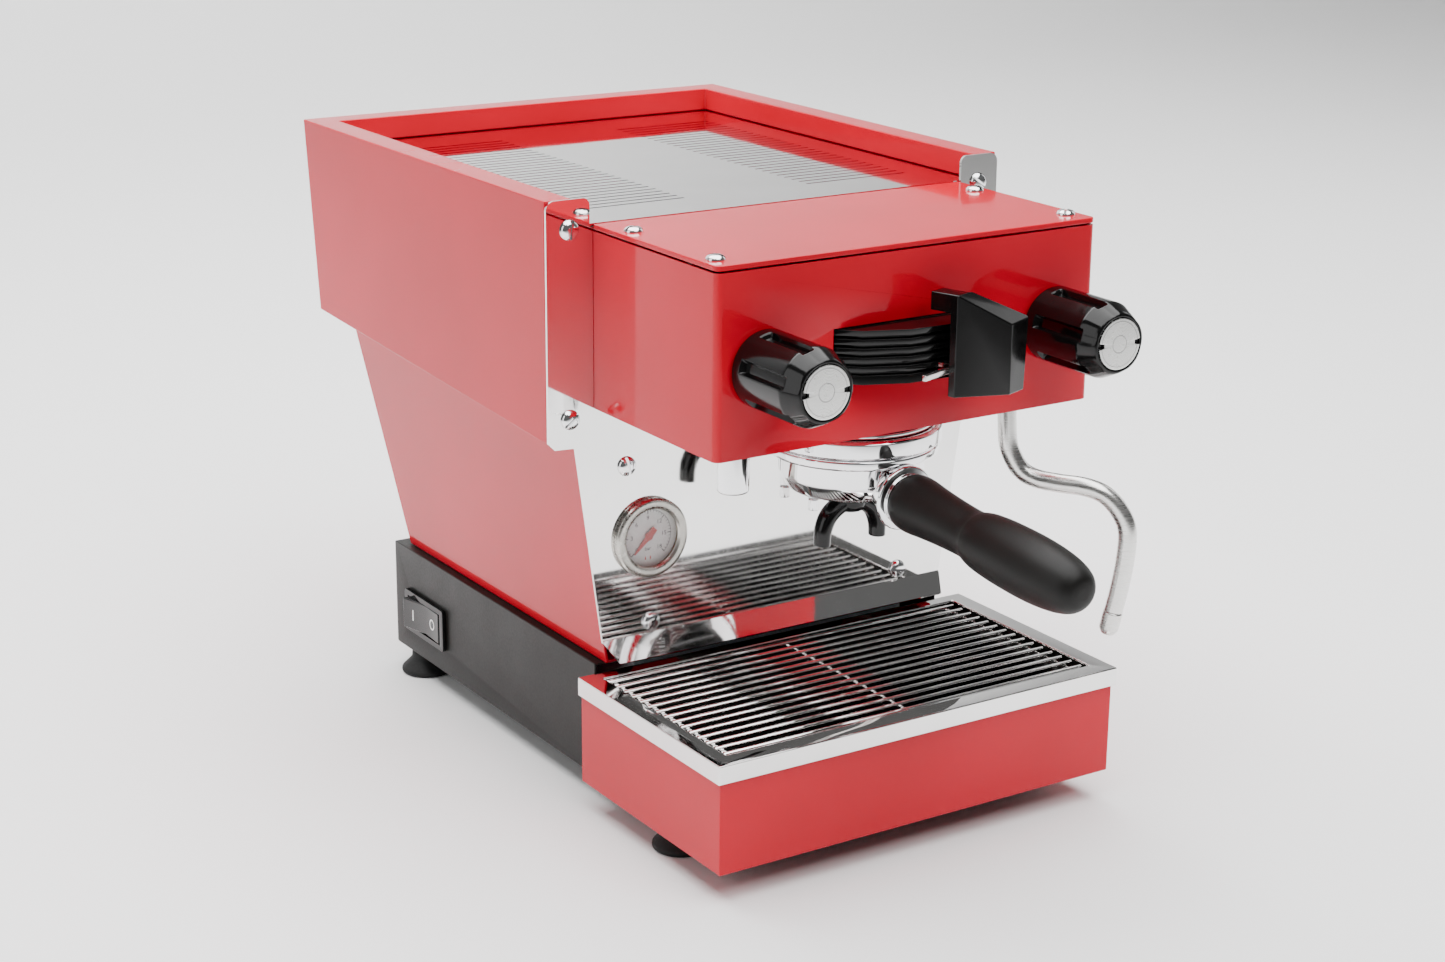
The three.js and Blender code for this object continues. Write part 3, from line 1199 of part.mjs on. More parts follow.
add("coffee_boiler", coffeeBoiler(), boilerSteel);
add("steam_boiler", steamBoiler(), boilerSteel);
add("pump", pump(), boilerSteel);
add("control_box", controlBox(), blackSheet);

// The footprint runs from the end of the handle to the rear of the upper body.
const handleEnd = GROUP_Y - (HANDLE_START + HANDLE_LENGTH) * Math.cos(radians(HANDLE_TILT));
machine.position.set(0, -(handleEnd + BODY_REAR_TOP) / 2, 0);

export default machine;
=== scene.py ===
# %% [markdown]
# # An espresso machine with one group
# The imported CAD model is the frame: its sheet parts already have the right shape and only want soft
# edges and real finishes. Turned, bent and moulded parts are worked out again here as fine surfaces.
# Everything is in metres, X to the right, Y to the rear, Z up.

import json
import math

import bmesh
import bpy
import numpy as np
from mathutils import Matrix, Vector

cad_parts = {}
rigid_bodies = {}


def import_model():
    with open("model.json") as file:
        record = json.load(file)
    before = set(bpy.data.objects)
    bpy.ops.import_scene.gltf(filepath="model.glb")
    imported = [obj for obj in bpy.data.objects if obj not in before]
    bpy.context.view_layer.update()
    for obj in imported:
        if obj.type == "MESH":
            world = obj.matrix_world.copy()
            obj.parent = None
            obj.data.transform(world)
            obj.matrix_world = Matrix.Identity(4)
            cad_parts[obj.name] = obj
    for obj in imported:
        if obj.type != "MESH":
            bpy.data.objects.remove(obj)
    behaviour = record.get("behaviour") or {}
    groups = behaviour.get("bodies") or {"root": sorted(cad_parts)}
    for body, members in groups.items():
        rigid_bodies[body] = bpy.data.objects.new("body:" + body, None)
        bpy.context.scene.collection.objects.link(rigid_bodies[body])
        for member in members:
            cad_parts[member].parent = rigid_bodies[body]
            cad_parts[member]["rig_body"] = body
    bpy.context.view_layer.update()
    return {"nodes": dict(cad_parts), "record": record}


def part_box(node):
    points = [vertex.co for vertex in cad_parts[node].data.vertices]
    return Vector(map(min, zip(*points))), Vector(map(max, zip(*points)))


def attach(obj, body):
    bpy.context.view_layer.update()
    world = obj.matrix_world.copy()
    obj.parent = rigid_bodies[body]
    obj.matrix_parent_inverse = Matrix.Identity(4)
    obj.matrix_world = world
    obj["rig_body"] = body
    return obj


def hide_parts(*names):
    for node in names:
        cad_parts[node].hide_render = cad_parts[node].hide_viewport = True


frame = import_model()
nodes = frame["nodes"]

# %% [markdown]
# The drawing of the machine measures Y from the front of the upright splash plate. The plate's own box
# says where that is in the frame, so every place below is given from the plate, in millimetres, and
# `at` turns it into metres in the frame.

# %% measures
MM = 0.001
TRAY_GAP = 0.1  # from the tray frame's rear edge to the splash plate, in millimetres
PLATE_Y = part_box("tray_frame")[1].y / MM + TRAY_GAP
GROUP_Y = -67.5
MERGE = 2e-6  # points closer than this, in metres, become one
GAUGE = (-83.8, 149.0)
KNOB_X, KNOB_Z = 90.3, 270.3
OUTLET_X, OUTLET_Y = 87.4, -87.3


def at(x, y, z):
    """A point in metres in the frame, from millimetres measured from the splash plate."""
    return np.array([x, y + PLATE_Y, z]) * MM


print("splash plate at", round(PLATE_Y, 2), "mm")

# %% [markdown]
# ## Surfaces
# A surface here is two arrays: corner points and the faces that join them. Rings of points are joined
# row by row, so one small function makes the faces for every turned, swept or moulded piece.


# %% grids
def grid_faces(rows, columns, closed=True):
    """Faces of a grid of points stored row by row: each face joins (i, j) to its next row and column.
    When closed, the last column joins the first."""
    i, j = np.meshgrid(np.arange(rows - 1), np.arange(columns if closed else columns - 1), indexing="ij")
    right = (j + 1) % columns
    corners = [i * columns + j, i * columns + right, (i + 1) * columns + right, (i + 1) * columns + j]
    return np.stack(corners, -1).reshape(-1, 4)


def axes_along(direction):
    """Two unit vectors that stand square to a direction and to each other."""
    along = np.asarray(direction, float) / np.linalg.norm(direction)
    helper = np.array([0.0, 0.0, 1.0]) if abs(along[2]) < 0.9 else np.array([1.0, 0.0, 0.0])
    side = np.cross(helper, along)
    side /= np.linalg.norm(side)
    return along, side, np.cross(along, side)


def rounded(profile, radius, steps=4):
    """The same line with its corners rounded: each inner corner becomes a curve that starts and ends
    the radius away from it, or less where a neighbour is close."""
    points = np.asarray(profile, float)
    made = [points[0]]
    for before, corner, after in zip(points[:-2], points[1:-1], points[2:]):
        arm_in, arm_out = before - corner, after - corner
        reach = min(radius, 0.45 * np.linalg.norm(arm_in), 0.45 * np.linalg.norm(arm_out))
        start = corner + arm_in / np.linalg.norm(arm_in) * reach
        end = corner + arm_out / np.linalg.norm(arm_out) * reach
        for t in np.linspace(0, 1, steps + 1):
            made.append((1 - t) ** 2 * start + 2 * t * (1 - t) * corner + t**2 * end)
    made.append(points[-1])
    return np.array(made)


def revolve(profile, centre, direction, segments=96):
    """A profile of (radius, distance) pairs turned about an axis: point = centre + along * distance
    + radius * (side * cos + up * sin)."""
    line = np.asarray(profile, float)
    along, side, up = axes_along(direction)
    turn = np.linspace(0, 2 * np.pi, segments, endpoint=False)
    circle = np.cos(turn)[:, None] * side + np.sin(turn)[:, None] * up
    points = line[:, None, 0:1] * circle[None] + line[:, None, 1:2] * along
    return points.reshape(-1, 3) * MM + centre, grid_faces(len(line), segments)


def smooth_line(points, count):
    """A curve through all the points: between two of them it is a cubic whose slopes at both ends are
    half the step from the point before to the point after."""
    known = np.asarray(points, float)
    slopes = np.gradient(known, axis=0)
    place = np.linspace(0, len(known) - 1, count)
    index = np.minimum(place.astype(int), len(known) - 2)
    t = (place - index)[:, None]
    start, end = known[index], known[index + 1]
    first, last = slopes[index], slopes[index + 1]
    square, cube = t**2, t**3
    return (
        (2 * cube - 3 * square + 1) * start
        + (cube - 2 * square + t) * first
        + (3 * square - 2 * cube) * end
        + (cube - square) * last
    )


def sweep(path, radii, sides=24):
    """A round tube along a path of points in metres. The section's side stays in step from point to
    point, as the last one with its part along the new direction taken away. Both ends are closed."""
    path = np.asarray(path, float)
    forward = np.gradient(path, axis=0)
    forward /= np.linalg.norm(forward, axis=1)[:, None]
    side = axes_along(forward[0])[1]
    sides_along = []
    for step in forward:
        side = side - step * (side @ step)
        side = side / np.linalg.norm(side)
        sides_along.append(side)
    side = np.array(sides_along)
    up = np.cross(forward, side)
    turn = np.linspace(0, 2 * np.pi, sides, endpoint=False)
    radius = (np.ones(len(path)) * radii)[:, None, None] * MM
    ring = np.cos(turn)[None, :, None] * side[:, None] + np.sin(turn)[None, :, None] * up[:, None]
    body = path[:, None] + radius * ring
    ends = [np.repeat(path[i : i + 1, None], sides, 1) for i in (0, -1)]
    points = np.concatenate([ends[0], body, ends[1]])
    return points.reshape(-1, 3), grid_faces(len(points), sides)


# %% [markdown]
# Every new piece goes the same way: its surfaces are joined in one mesh, doubled points are merged so
# that seams and poles are closed, faces are turned outwards, and sharp bends keep their edge.


# %% pieces
def piece(name, body, material, surfaces, replaces=(), sharp=32):
    """One object from one or more surfaces, riding on a body, with its finish."""
    points, faces, start = [], [], 0
    for corners, joined in surfaces:
        points.append(corners)
        faces.extend((np.asarray(joined) + start).tolist())
        start += len(corners)
    mesh = bpy.data.meshes.new(name)
    mesh.from_pydata(np.concatenate(points).tolist(), [], faces)
    return finish_piece(name, body, material, mesh, replaces, sharp)


def finish_piece(name, body, material, mesh, replaces=(), sharp=32, flip=True):
    """Merges doubled points, turns faces outwards, marks bends over `sharp` degrees and hangs the piece."""
    work = bmesh.new()
    work.from_mesh(mesh)
    bmesh.ops.remove_doubles(work, verts=work.verts, dist=MERGE)
    if flip:
        bmesh.ops.recalc_face_normals(work, faces=work.faces)
    work.to_mesh(mesh)
    work.free()
    mesh.shade_smooth()
    mesh.set_sharp_from_angle(angle=math.radians(sharp))
    mesh.materials.clear()
    mesh.materials.append(material)
    made = bpy.data.objects.new(name, mesh)
    bpy.context.scene.collection.objects.link(made)
    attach(made, body)
    if replaces:
        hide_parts(*replaces)
    return made


def softened(node, material, width, segments=3, angle=28):
    """A copy of a CAD node with merged points, flat areas in one face each, and rounded edges of the
    given width in millimetres. Only bends over the angle, in degrees, are rounded."""
    source = nodes[node]
    mesh = source.data.copy()
    mesh.name = node + "_soft"
    work = bmesh.new()
    work.from_mesh(mesh)
    bmesh.ops.remove_doubles(work, verts=work.verts, dist=MERGE)
    flat = math.radians(0.6)
    bmesh.ops.dissolve_limit(work, angle_limit=flat, verts=work.verts, edges=work.edges)
    work.to_mesh(mesh)
    work.free()
    made = finish_piece(node + "_soft", source["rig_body"], material, mesh, (node,), 60, False)
    bevel = made.modifiers.new("soft edges", "BEVEL")
    bevel.width = width * MM
    bevel.segments = segments
    bevel.limit_method = "ANGLE"
    bevel.angle_limit = math.radians(angle)
    bevel.miter_outer = "MITER_ARC"
    bevel.use_clamp_overlap = True
    bevel.harden_normals = True
    return made


SLOTS = {part["node"]: part["material_slot"] for part in frame["record"]["subparts"]}
print(len(set(SLOTS.values())), "material slots")

# %% [markdown]
# ## Finishes
# A pattern is arithmetic on a few sources such as noise and the distance from an axis. To write it as
# plain expressions, one class stands for a number inside the shader and adds a Math node for each
# operator; one method of the finish adds any other node.


# %% shader arithmetic
class Number:
    """A number that changes over the surface. Each operator adds the Math node that works it out."""

    def __init__(self, finish, socket):
        self.finish = finish
        self.socket = socket

    def math(self, operation, *others):
        values = {i: other for i, other in enumerate((self, *others))}
        return self.finish.number("ShaderNodeMath", dict(operation=operation), values)

    def __add__(self, other):
        return self.math("ADD", other)

    def __sub__(self, other):
        return self.math("SUBTRACT", other)

    def __mul__(self, other):
        return self.math("MULTIPLY", other)

    def __truediv__(self, other):
        return self.math("DIVIDE", other)

    def __pow__(self, other):
        return self.math("POWER", other)

    def __lt__(self, other):
        return self.math("LESS_THAN", other)

    def __gt__(self, other):
        return self.math("GREATER_THAN", other)

    def __rsub__(self, other):
        return self * -1 + other

    def __abs__(self):
        return self.math("ABSOLUTE")

    __radd__ = __add__
    __rmul__ = __mul__


class Finish:
    """A material under construction: its principled shader and the nodes that feed it."""

    def __init__(self, name, colour, roughness, metallic=0.0, **constants):
        self.material = bpy.data.materials.new(name)
        self.material.use_nodes = True
        self.tree = self.material.node_tree
        self.shader = self.tree.nodes["Principled BSDF"]
        self.set("Base Color", (*colour, 1.0))
        self.set("Roughness", roughness)
        self.set("Metallic", metallic)
        for socket, value in constants.items():
            self.set(socket.replace("_", " "), value)
        self.place = self.node("ShaderNodeTexCoord").outputs["Object"]

    def node(self, kind, settings=None, values=None):
        """Adds a node: first its settings, then the values or links of its sockets."""
        made = self.tree.nodes.new(kind)
        for key, value in (settings or {}).items():
            if key == "stops":
                ramp = made.color_ramp
                while len(ramp.elements) < len(value):
                    ramp.elements.new(0.5)
                for element, (place, shade) in zip(ramp.elements, value):
                    element.position = place
                    element.color = (*shade, 1.0)
            else:
                setattr(made, key, value)
        for key, value in (values or {}).items():
            self.feed(made.inputs[key], value)
        return made

    def feed(self, socket, value):
        if isinstance(value, Number):
            value = value.socket
        if isinstance(value, bpy.types.NodeSocket):
            self.tree.links.new(value, socket)
        else:
            socket.default_value = value

    def number(self, kind, settings=None, values=None, output=0):
        return Number(self, self.node(kind, settings, values).outputs[output])

    def set(self, socket, value):
        self.feed(self.shader.inputs[socket], value)

    def stretched(self, scale, centre=(0, 0, 0)):
        """Object coordinates moved so that the centre is at 0, then scaled along each axis."""
        move = tuple(-c * s for c, s in zip(centre, scale))
        values = {"Vector": self.place, "Location": move, "Scale": scale}
        return self.node("ShaderNodeMapping", None, values).outputs[0]

    def noise(self, scale, detail=3.0, place=None):
        """Smooth noise from 0 to 1; scale counts its cells in a metre."""
        values = {"Vector": place or self.place, "Scale": scale, "Detail": detail}
        return self.number("ShaderNodeTexNoise", None, values)

    def spread(self, value, low, high, start=0.3, end=0.7):
        """The value's range from start to end carried to low to high, without going past them."""
        values = {0: value, 1: start, 2: end, 3: low, 4: high}
        return self.number("ShaderNodeMapRange", dict(clamp=True), values)

    def blend(self, factor, first, second):
        """A colour between two, by a factor from 0 to 1."""
        settings = dict(data_type="RGBA", blend_type="MIX")
        values = {0: factor, 6: (*first, 1.0) if isinstance(first, tuple) else first}
        values[7] = (*second, 1.0) if isinstance(second, tuple) else second
        return self.node("ShaderNodeMix", settings, values).outputs[2]

    def bump(self, height, depth, strength=1.0):
        """Raises the surface by height times depth, in metres."""
        made = self.node("ShaderNodeBump", None, {"Strength": strength, "Distance": depth, "Height": height})
        self.set("Normal", made.outputs[0])

    def axes(self, centre=(0, 0, 0)):
        """The three coordinates in metres from a centre."""
        parts = self.node("ShaderNodeSeparateXYZ", None, {0: self.stretched((1, 1, 1), centre)}).outputs
        return [Number(self, parts[i]) for i in range(3)]


# %% [markdown]
# **Red enamel paint** is thick, glossy and slightly uneven, like orange skin seen at a flat angle. The
# colour stays deep, so the shine comes from a clear coat, and faint wipe marks change the roughness.


# %% red paint
def red_paint():
    """Deep red under a thin clear coat: colour = blend(broad noise), roughness = wipes stretched along Z."""
    shine = dict(Specular_IOR_Level=0.08, Coat_Weight=0.34, Coat_Roughness=0.02)
    paint = Finish("red enamel", (0.52, 0.0, 0.014), 0.2, **shine)
    broad = paint.noise(9, 2)
    fine = paint.noise(420, 1)
    paint.set("Base Color", paint.blend(paint.spread(broad, 0, 1), (0.48, 0.0, 0.012), (0.56, 0.0, 0.017)))
    wipes = paint.noise(60, 4, paint.stretched((0.4, 1.0, 3.0)))
    paint.set("Roughness", paint.spread(wipes, 0.11, 0.21))
    paint.bump(fine, 0.00003, 0.2)
    return paint.material


# %% [markdown]
# **Mirror steel** is polished sheet. It reflects the room nearly sharp, but the polishing wheel leaves
# very fine lines in one direction, and hands leave cloudy places.


# %% steels
def polished_steel(name, colour, low, high, grain, depth):
    """Metal whose roughness runs from low to high in stretched streaks, with lines of the given depth."""
    metal = Finish(name, colour, low, 1.0)
    streaks = metal.noise(1, 4, metal.stretched(grain))
    clouds = metal.noise(26, 3)
    tone = metal.spread(clouds, 0, 1)
    metal.set("Base Color", metal.blend(tone, tuple(0.94 * c for c in colour), colour))
    metal.set("Roughness", metal.spread(streaks * 0.6 + clouds * 0.4, low, high, 0.35, 0.65))
    metal.bump(streaks, depth, 0.5)
    return metal.material


def turned_cap(x):
    """Steel turned on a lathe: rings whose height is a wave of the distance from the axis, and two thin
    sunk circles whose colour is darkened as painted shade."""
    metal = Finish("turned steel cap", (0.80, 0.80, 0.78), 0.22, 1.0)
    across, _, high = metal.axes(at(x, 0, KNOB_Z))
    distance = (across * across + high * high).math("SQRT")
    rings = (distance * 9000).math("SINE")
    # Two thin sunk grooves; their colour is darkened as painted shade in the grooves.
    edge = (abs(distance - 0.0045) < 0.00025) + (abs(distance - 0.0118) < 0.0002)
    metal.set("Base Color", metal.blend(edge, (0.80, 0.80, 0.78), (0.42, 0.42, 0.41)))
    metal.set("Roughness", metal.spread(metal.noise(500, 3), 0.17, 0.30))
    metal.bump(rings * 0.3 - edge, 0.00006, 0.5)
    return metal.material


# %% [markdown]
# **Black parts** differ only in their shine: gloss plastic shows every finger, powder paint has a fine
# grain, the grip is matt and slightly soft, and rubber is duller still.


# %% blacks
def black(name, colour, low, high, grain, depth, **constants):
    """A dark plastic or paint: mottled roughness from low to high, and a grain of the given size."""
    made = Finish(name, colour, low, **constants)
    clouds = made.noise(34, 4)
    tone = made.spread(clouds, 0, 1)
    made.set("Base Color", made.blend(tone, tuple(0.8 * c for c in colour), tuple(1.15 * c for c in colour)))
    made.set("Roughness", made.spread(clouds * 0.5 + made.noise(grain * 0.4, 2) * 0.5, low, high))
    made.bump(made.noise(grain, 2), depth, 0.6)
    return made.material


# %% [markdown]
# **The dial** is printed: white enamel with a ring of strokes, long at each number and short between.
# The stroke pattern repeats with the angle round the dial's middle, so it is a test on that angle.


# %% dial
def dial_print():
    """White enamel with printed strokes: ink = strokes(angle) * ring(distance) on the used part of the
    scale, and one red mark above the lower edge."""
    dial = Finish("dial enamel", (0.90, 0.90, 0.88), 0.4)
    across, _, high = dial.axes(at(GAUGE[0], 0, GAUGE[1]))
    distance = (across * across + high * high).math("SQRT")
    turn = across.math("ARCTAN2", high) * (180 / math.pi)
    minor = (turn + 900).math("MODULO", 7.5)
    major = (turn + 900).math("MODULO", 45.0)
    near_minor = (minor < 0.6) + (minor > 6.9)
    near_major = (major < 1.1) + (major > 43.9)
    on_scale = abs(turn) < 136.0
    short = near_minor * (abs(distance - 0.0139) < 0.0006)
    long = near_major * (abs(distance - 0.0134) < 0.0011)
    circle = abs(distance - 0.0145) < 0.00012
    ink = (short + long + circle).math("MINIMUM", 1.0) * on_scale
    tick = (abs(across) > 0.0012) * (abs(across) < 0.0019) * (abs(high + 0.0125) < 0.0009)
    paper = dial.blend(dial.spread(dial.noise(300, 2), 0, 1), (0.84, 0.84, 0.82), (0.92, 0.92, 0.90))
    inked = dial.blend(ink, paper, (0.02, 0.02, 0.02))
    dial.set("Base Color", dial.blend(tick, inked, (0.75, 0.05, 0.03)))
    dial.set("Roughness", dial.spread(dial.noise(220, 2), 0.34, 0.48))
    return dial.material


# %% other finishes
def plain_finish(name, colour, low, high, scale, metallic=0.0, **constants):
    """A quiet finish: colour and roughness drift a little over noise of the given scale."""
    made = Finish(name, colour, low, metallic, **constants)
    drift = made.noise(scale, 3)
    made.set("Base Color", made.blend(made.spread(drift, 0, 1), tuple(0.9 * c for c in colour), colour))
    made.set("Roughness", made.spread(drift, low, high))
    made.bump(made.noise(scale * 6, 2), 0.00003, 0.4)
    return made.material


def rocker_print():
    """Gloss black with a white stroke on the rear half and a white ring on the front half."""
    made = Finish("printed rocker", (0.012, 0.012, 0.012), 0.12)
    _, along, high = made.axes(at(0, 208.5, 42))
    stroke = (abs(along - 0.0105) < 0.0005) * (abs(high) < 0.0034)
    ring_place = ((along + 0.0105) ** 2 + high**2).math("SQRT")
    ring = abs(ring_place - 0.0029) < 0.00045
    made.set("Base Color", made.blend(stroke + ring, (0.012, 0.012, 0.012), (0.85, 0.85, 0.83)))
    made.set("Roughness", made.spread(made.noise(90, 3), 0.09, 0.2))
    return made.material


RED = red_paint()
MIRROR = polished_steel("mirror steel", (0.90, 0.89, 0.88), 0.02, 0.07, (900, 900, 30), 0.000004)
CHROME = polished_steel("chrome plate", (0.90, 0.90, 0.91), 0.02, 0.06, (60, 60, 60), 0.000004)
BRUSHED = polished_steel("brushed steel", (0.72, 0.71, 0.69), 0.18, 0.32, (60, 60, 1600), 0.00001)
BEZEL = polished_steel("satin bezel", (0.52, 0.50, 0.46), 0.24, 0.36, (500, 60, 500), 0.000012)
POWDER = black("black powder paint", (0.009, 0.008, 0.007), 0.36, 0.50, 1900, 0.00004, Specular_IOR_Level=0.2)
GLOSS_BLACK = black("gloss black", (0.003, 0.003, 0.003), 0.08, 0.18, 260, 0.00001, Specular_IOR_Level=0.3)
GRIP = black("grip", (0.006, 0.0055, 0.005), 0.40, 0.54, 2600, 0.00003, Specular_IOR_Level=0.2)
RUBBER = black("rubber", (0.010, 0.010, 0.010), 0.62, 0.78, 1400, 0.00006, Specular_IOR_Level=0.35)
DIAL = dial_print()
ROCKER = rocker_print()
NEEDLE = plain_finish("needle paint", (0.62, 0.03, 0.02), 0.3, 0.42, 400)
PRINT = plain_finish("print ink", (0.02, 0.02, 0.02), 0.4, 0.5, 500)
BRASS = plain_finish("brass", (0.60, 0.42, 0.16), 0.24, 0.42, 160, 1.0)
BOILER = plain_finish("boiler steel", (0.50, 0.49, 0.47), 0.30, 0.48, 90, 1.0)
TANK = plain_finish("tank plastic", (0.60, 0.66, 0.70), 0.22, 0.34, 60)
LENS = plain_finish("lens", (0.95, 0.97, 0.98), 0.01, 0.03, 80, Alpha=0.10)
CAPS = {side: turned_cap(side * KNOB_X) for side in (-1, 1)}
FINISHES = dict(
    red_paint=RED, mirror_steel=MIRROR, brushed_steel=BRUSHED, chrome=CHROME, black_sheet=POWDER,
    gloss_black=GLOSS_BLACK, grip=GRIP, black_rubber=RUBBER, dial_white=DIAL, needle_red=NEEDLE,
    lens_glass=LENS, tank_plastic=TANK, boiler_steel=BOILER, brass=BRASS,
)
for node, slot_name in SLOTS.items():
    nodes[node].data.materials.clear()
    nodes[node].data.materials.append(FINISHES[slot_name])
print(len(bpy.data.materials), "materials")

# %% [markdown]
# ## Sheet metal
# Folded sheet never has a knife edge. A copy of each sheet part gets a small rounding of its own size:
# up to a millimetre on the covers, less on the thin parts. The plates with many slots, holes or vents
# keep the node's own mesh.

# %% sheet parts
EDGE_WIDTHS = dict(
    upper_shell=0.7, side_panel_left=0.5, side_panel_right=0.5, group_housing=0.6,
    housing_lid=1.0, tray_box=0.7, tray_frame=0.7, tray_liner=0.6,
    base_pan=0.6, switch_frame=0.5, power_inlet=0.4, control_box=0.8, inner_shelf=0.3, water_tank=0.6,
    paddle_handle=1.3, paddle_lever=0.4, brew_drum=0.35,
)
for node, width in EDGE_WIDTHS.items():
    softened(node, FINISHES[SLOTS[node]], width)
softened("switch_rocker", ROCKER, 0.8)
print(len(EDGE_WIDTHS) + 1, "sheet and moulded parts softened")

# %% [markdown]
# ## Turned parts
# Each is one profile carried round its axis, with its corners rounded first so that they catch light.

# %% group and portafilter
UP = (0, 0, 1)
GROUP = at(0, GROUP_Y, 0)


def group_turned(profile, corner=0.6, segments=128):
    """A profile of (radius, height) pairs turned about the group's vertical axis."""
    return revolve(rounded(profile, corner), GROUP, UP, segments)


RING_LOW, RING_HIGH = 209.6, 219.7
head = group_turned(
    [
        (0, 252), (22, 252), (34, 244), (34, 228), (40, 224), (44, 222.5), (44, 220), (30.9, 220),
        (30.9, 222), (0, 222),
    ],
    1.5,
)
neck_pipe = revolve(rounded([(0, 0), (13, 0), (13, 69), (0, 69)], 1), at(0, -47.5, 244), (0, 1, 0), 48)
piece("group_head_fine", "chassis", CHROME, [head, neck_pipe], ["group_head"])
ring = group_turned(
    [
        (36.1, RING_LOW), (46.2, RING_LOW), (47.3, RING_LOW + 1.2), (47.3, RING_HIGH - 1.6), (46, RING_HIGH),
        (39, RING_HIGH), (39, 211.8), (36.1, 211.8), (36.1, RING_LOW),
    ],
    0.5,
)
piece("group_ring_fine", "chassis", CHROME, [ring], ["group_ring"])

RIM_HIGH, RIM_LOW, BOWL_LOW = 209.1, 203.5, 180.5
bowl = group_turned(
    [
        (3.5, BOWL_LOW), (25, BOWL_LOW), (34, BOWL_LOW + 3.2), (38.6, BOWL_LOW + 11), (38.6, RIM_LOW - 0.6),
        (44.6, RIM_LOW - 0.2), (45.8, RIM_LOW + 1), (45.8, RIM_HIGH - 1), (44.8, RIM_HIGH), (34.5, RIM_HIGH),
        (34.5, 213.9), (31.4, 213.9), (31.4, BOWL_LOW + 6), (26, BOWL_LOW + 3.6), (3.5, BOWL_LOW + 3.6),
        (3.5, BOWL_LOW),
    ],
    1.6,
)
HANDLE_TILT = math.radians(3.9)
HANDLE_WAY = np.array([0, -math.cos(HANDLE_TILT), -math.sin(HANDLE_TILT)])
HANDLE_AT = at(0, GROUP_Y, 191.5)


def handle_turned(profile, corner, segments=96):
    """Distances run from the group's axis outwards along the sloping handle."""
    return revolve(rounded(profile, corner), HANDLE_AT, HANDLE_WAY, segments)


neck = handle_turned(
    [
        (0, 34), (11.5, 34), (11.5, 38.5), (8, 41.5), (7, 44), (9.2, 45), (9.2, 46), (5, 46.2), (5, 86),
        (0, 86),
    ],
    1.5,
)
piece("portafilter_fine", "portafilter", CHROME, [bowl, neck], ["portafilter_body"])
ferrule = handle_turned(
    [
        (5.4, 46.4), (15.8, 46.4), (17.5, 47.2), (16.8, 48.7), (13.8, 49.2), (13.8, 51), (5.4, 51),
        (5.4, 46.4),
    ],
    0.5,
)
piece("ferrule_fine", "portafilter", CHROME, [ferrule], ["handle_ferrule"])
GRIP_LINE = [
    (12.2, 51.6), (14.0, 52.4), (15.0, 54.6), (15.3, 59), (15.0, 64), (14.2, 72), (13.2, 86),
    (12.7, 98), (12.6, 102), (12.75, 105.5), (13.3, 108.4), (14.2, 111.5), (15.2, 117), (16.0, 127),
    (16.4, 140), (16.4, 152), (15.8, 164), (14.4, 175), (12.0, 183.5), (8.6, 188.0), (4.4, 189.4),
    (0, 189.6),
]
grip_skin = np.concatenate([[(5.4, 51.4), (11.6, 51.4)], smooth_line(GRIP_LINE, 90)])
grip_skin[:, 0] = np.maximum(grip_skin[:, 0], 0)
grip_surface = revolve(grip_skin, HANDLE_AT, HANDLE_WAY, 96)
piece("grip_fine", "portafilter", GRIP, [grip_surface], ["handle_grip"], 50)
print("group, portafilter and handle turned")

# %% [markdown]
# **The double spout** is a moulded arch under the bowl. Its section grows flatter towards both mouths,
# so it is swept along the arch from one mouth to the other, with a boss joined on top.

# %% double spout
SPOUT_TOP = 180.2
ARCH_STEPS = 65
arch = smooth_line(
    [
        (-18, SPOUT_TOP - 28), (-17.4, SPOUT_TOP - 20), (-14, SPOUT_TOP - 12.5),
        (-7.5, SPOUT_TOP - 7.6), (0, SPOUT_TOP - 6.2), (7.5, SPOUT_TOP - 7.6),
        (14, SPOUT_TOP - 12.5), (17.4, SPOUT_TOP - 20), (18, SPOUT_TOP - 28),
    ],
    ARCH_STEPS,
)
arch_path = np.stack([at(x, GROUP_Y, z) for x, z in arch])
arm_radii = 4.7 - 0.5 * np.abs(np.linspace(-1, 1, ARCH_STEPS)) ** 2
arms = sweep(arch_path, arm_radii, 24)
arms[0][:, 1] = (arms[0][:, 1] - GROUP[1]) * 1.25 + GROUP[1]
boss_line = [
    (0, SPOUT_TOP - 11), (6.5, SPOUT_TOP - 11), (8.5, SPOUT_TOP - 8), (8.5, SPOUT_TOP), (0, SPOUT_TOP),
]
boss = group_turned(boss_line, 1.2, 48)
piece("double_spout_fine", "portafilter", GLOSS_BLACK, [arms, boss], ["double_spout"], 40)

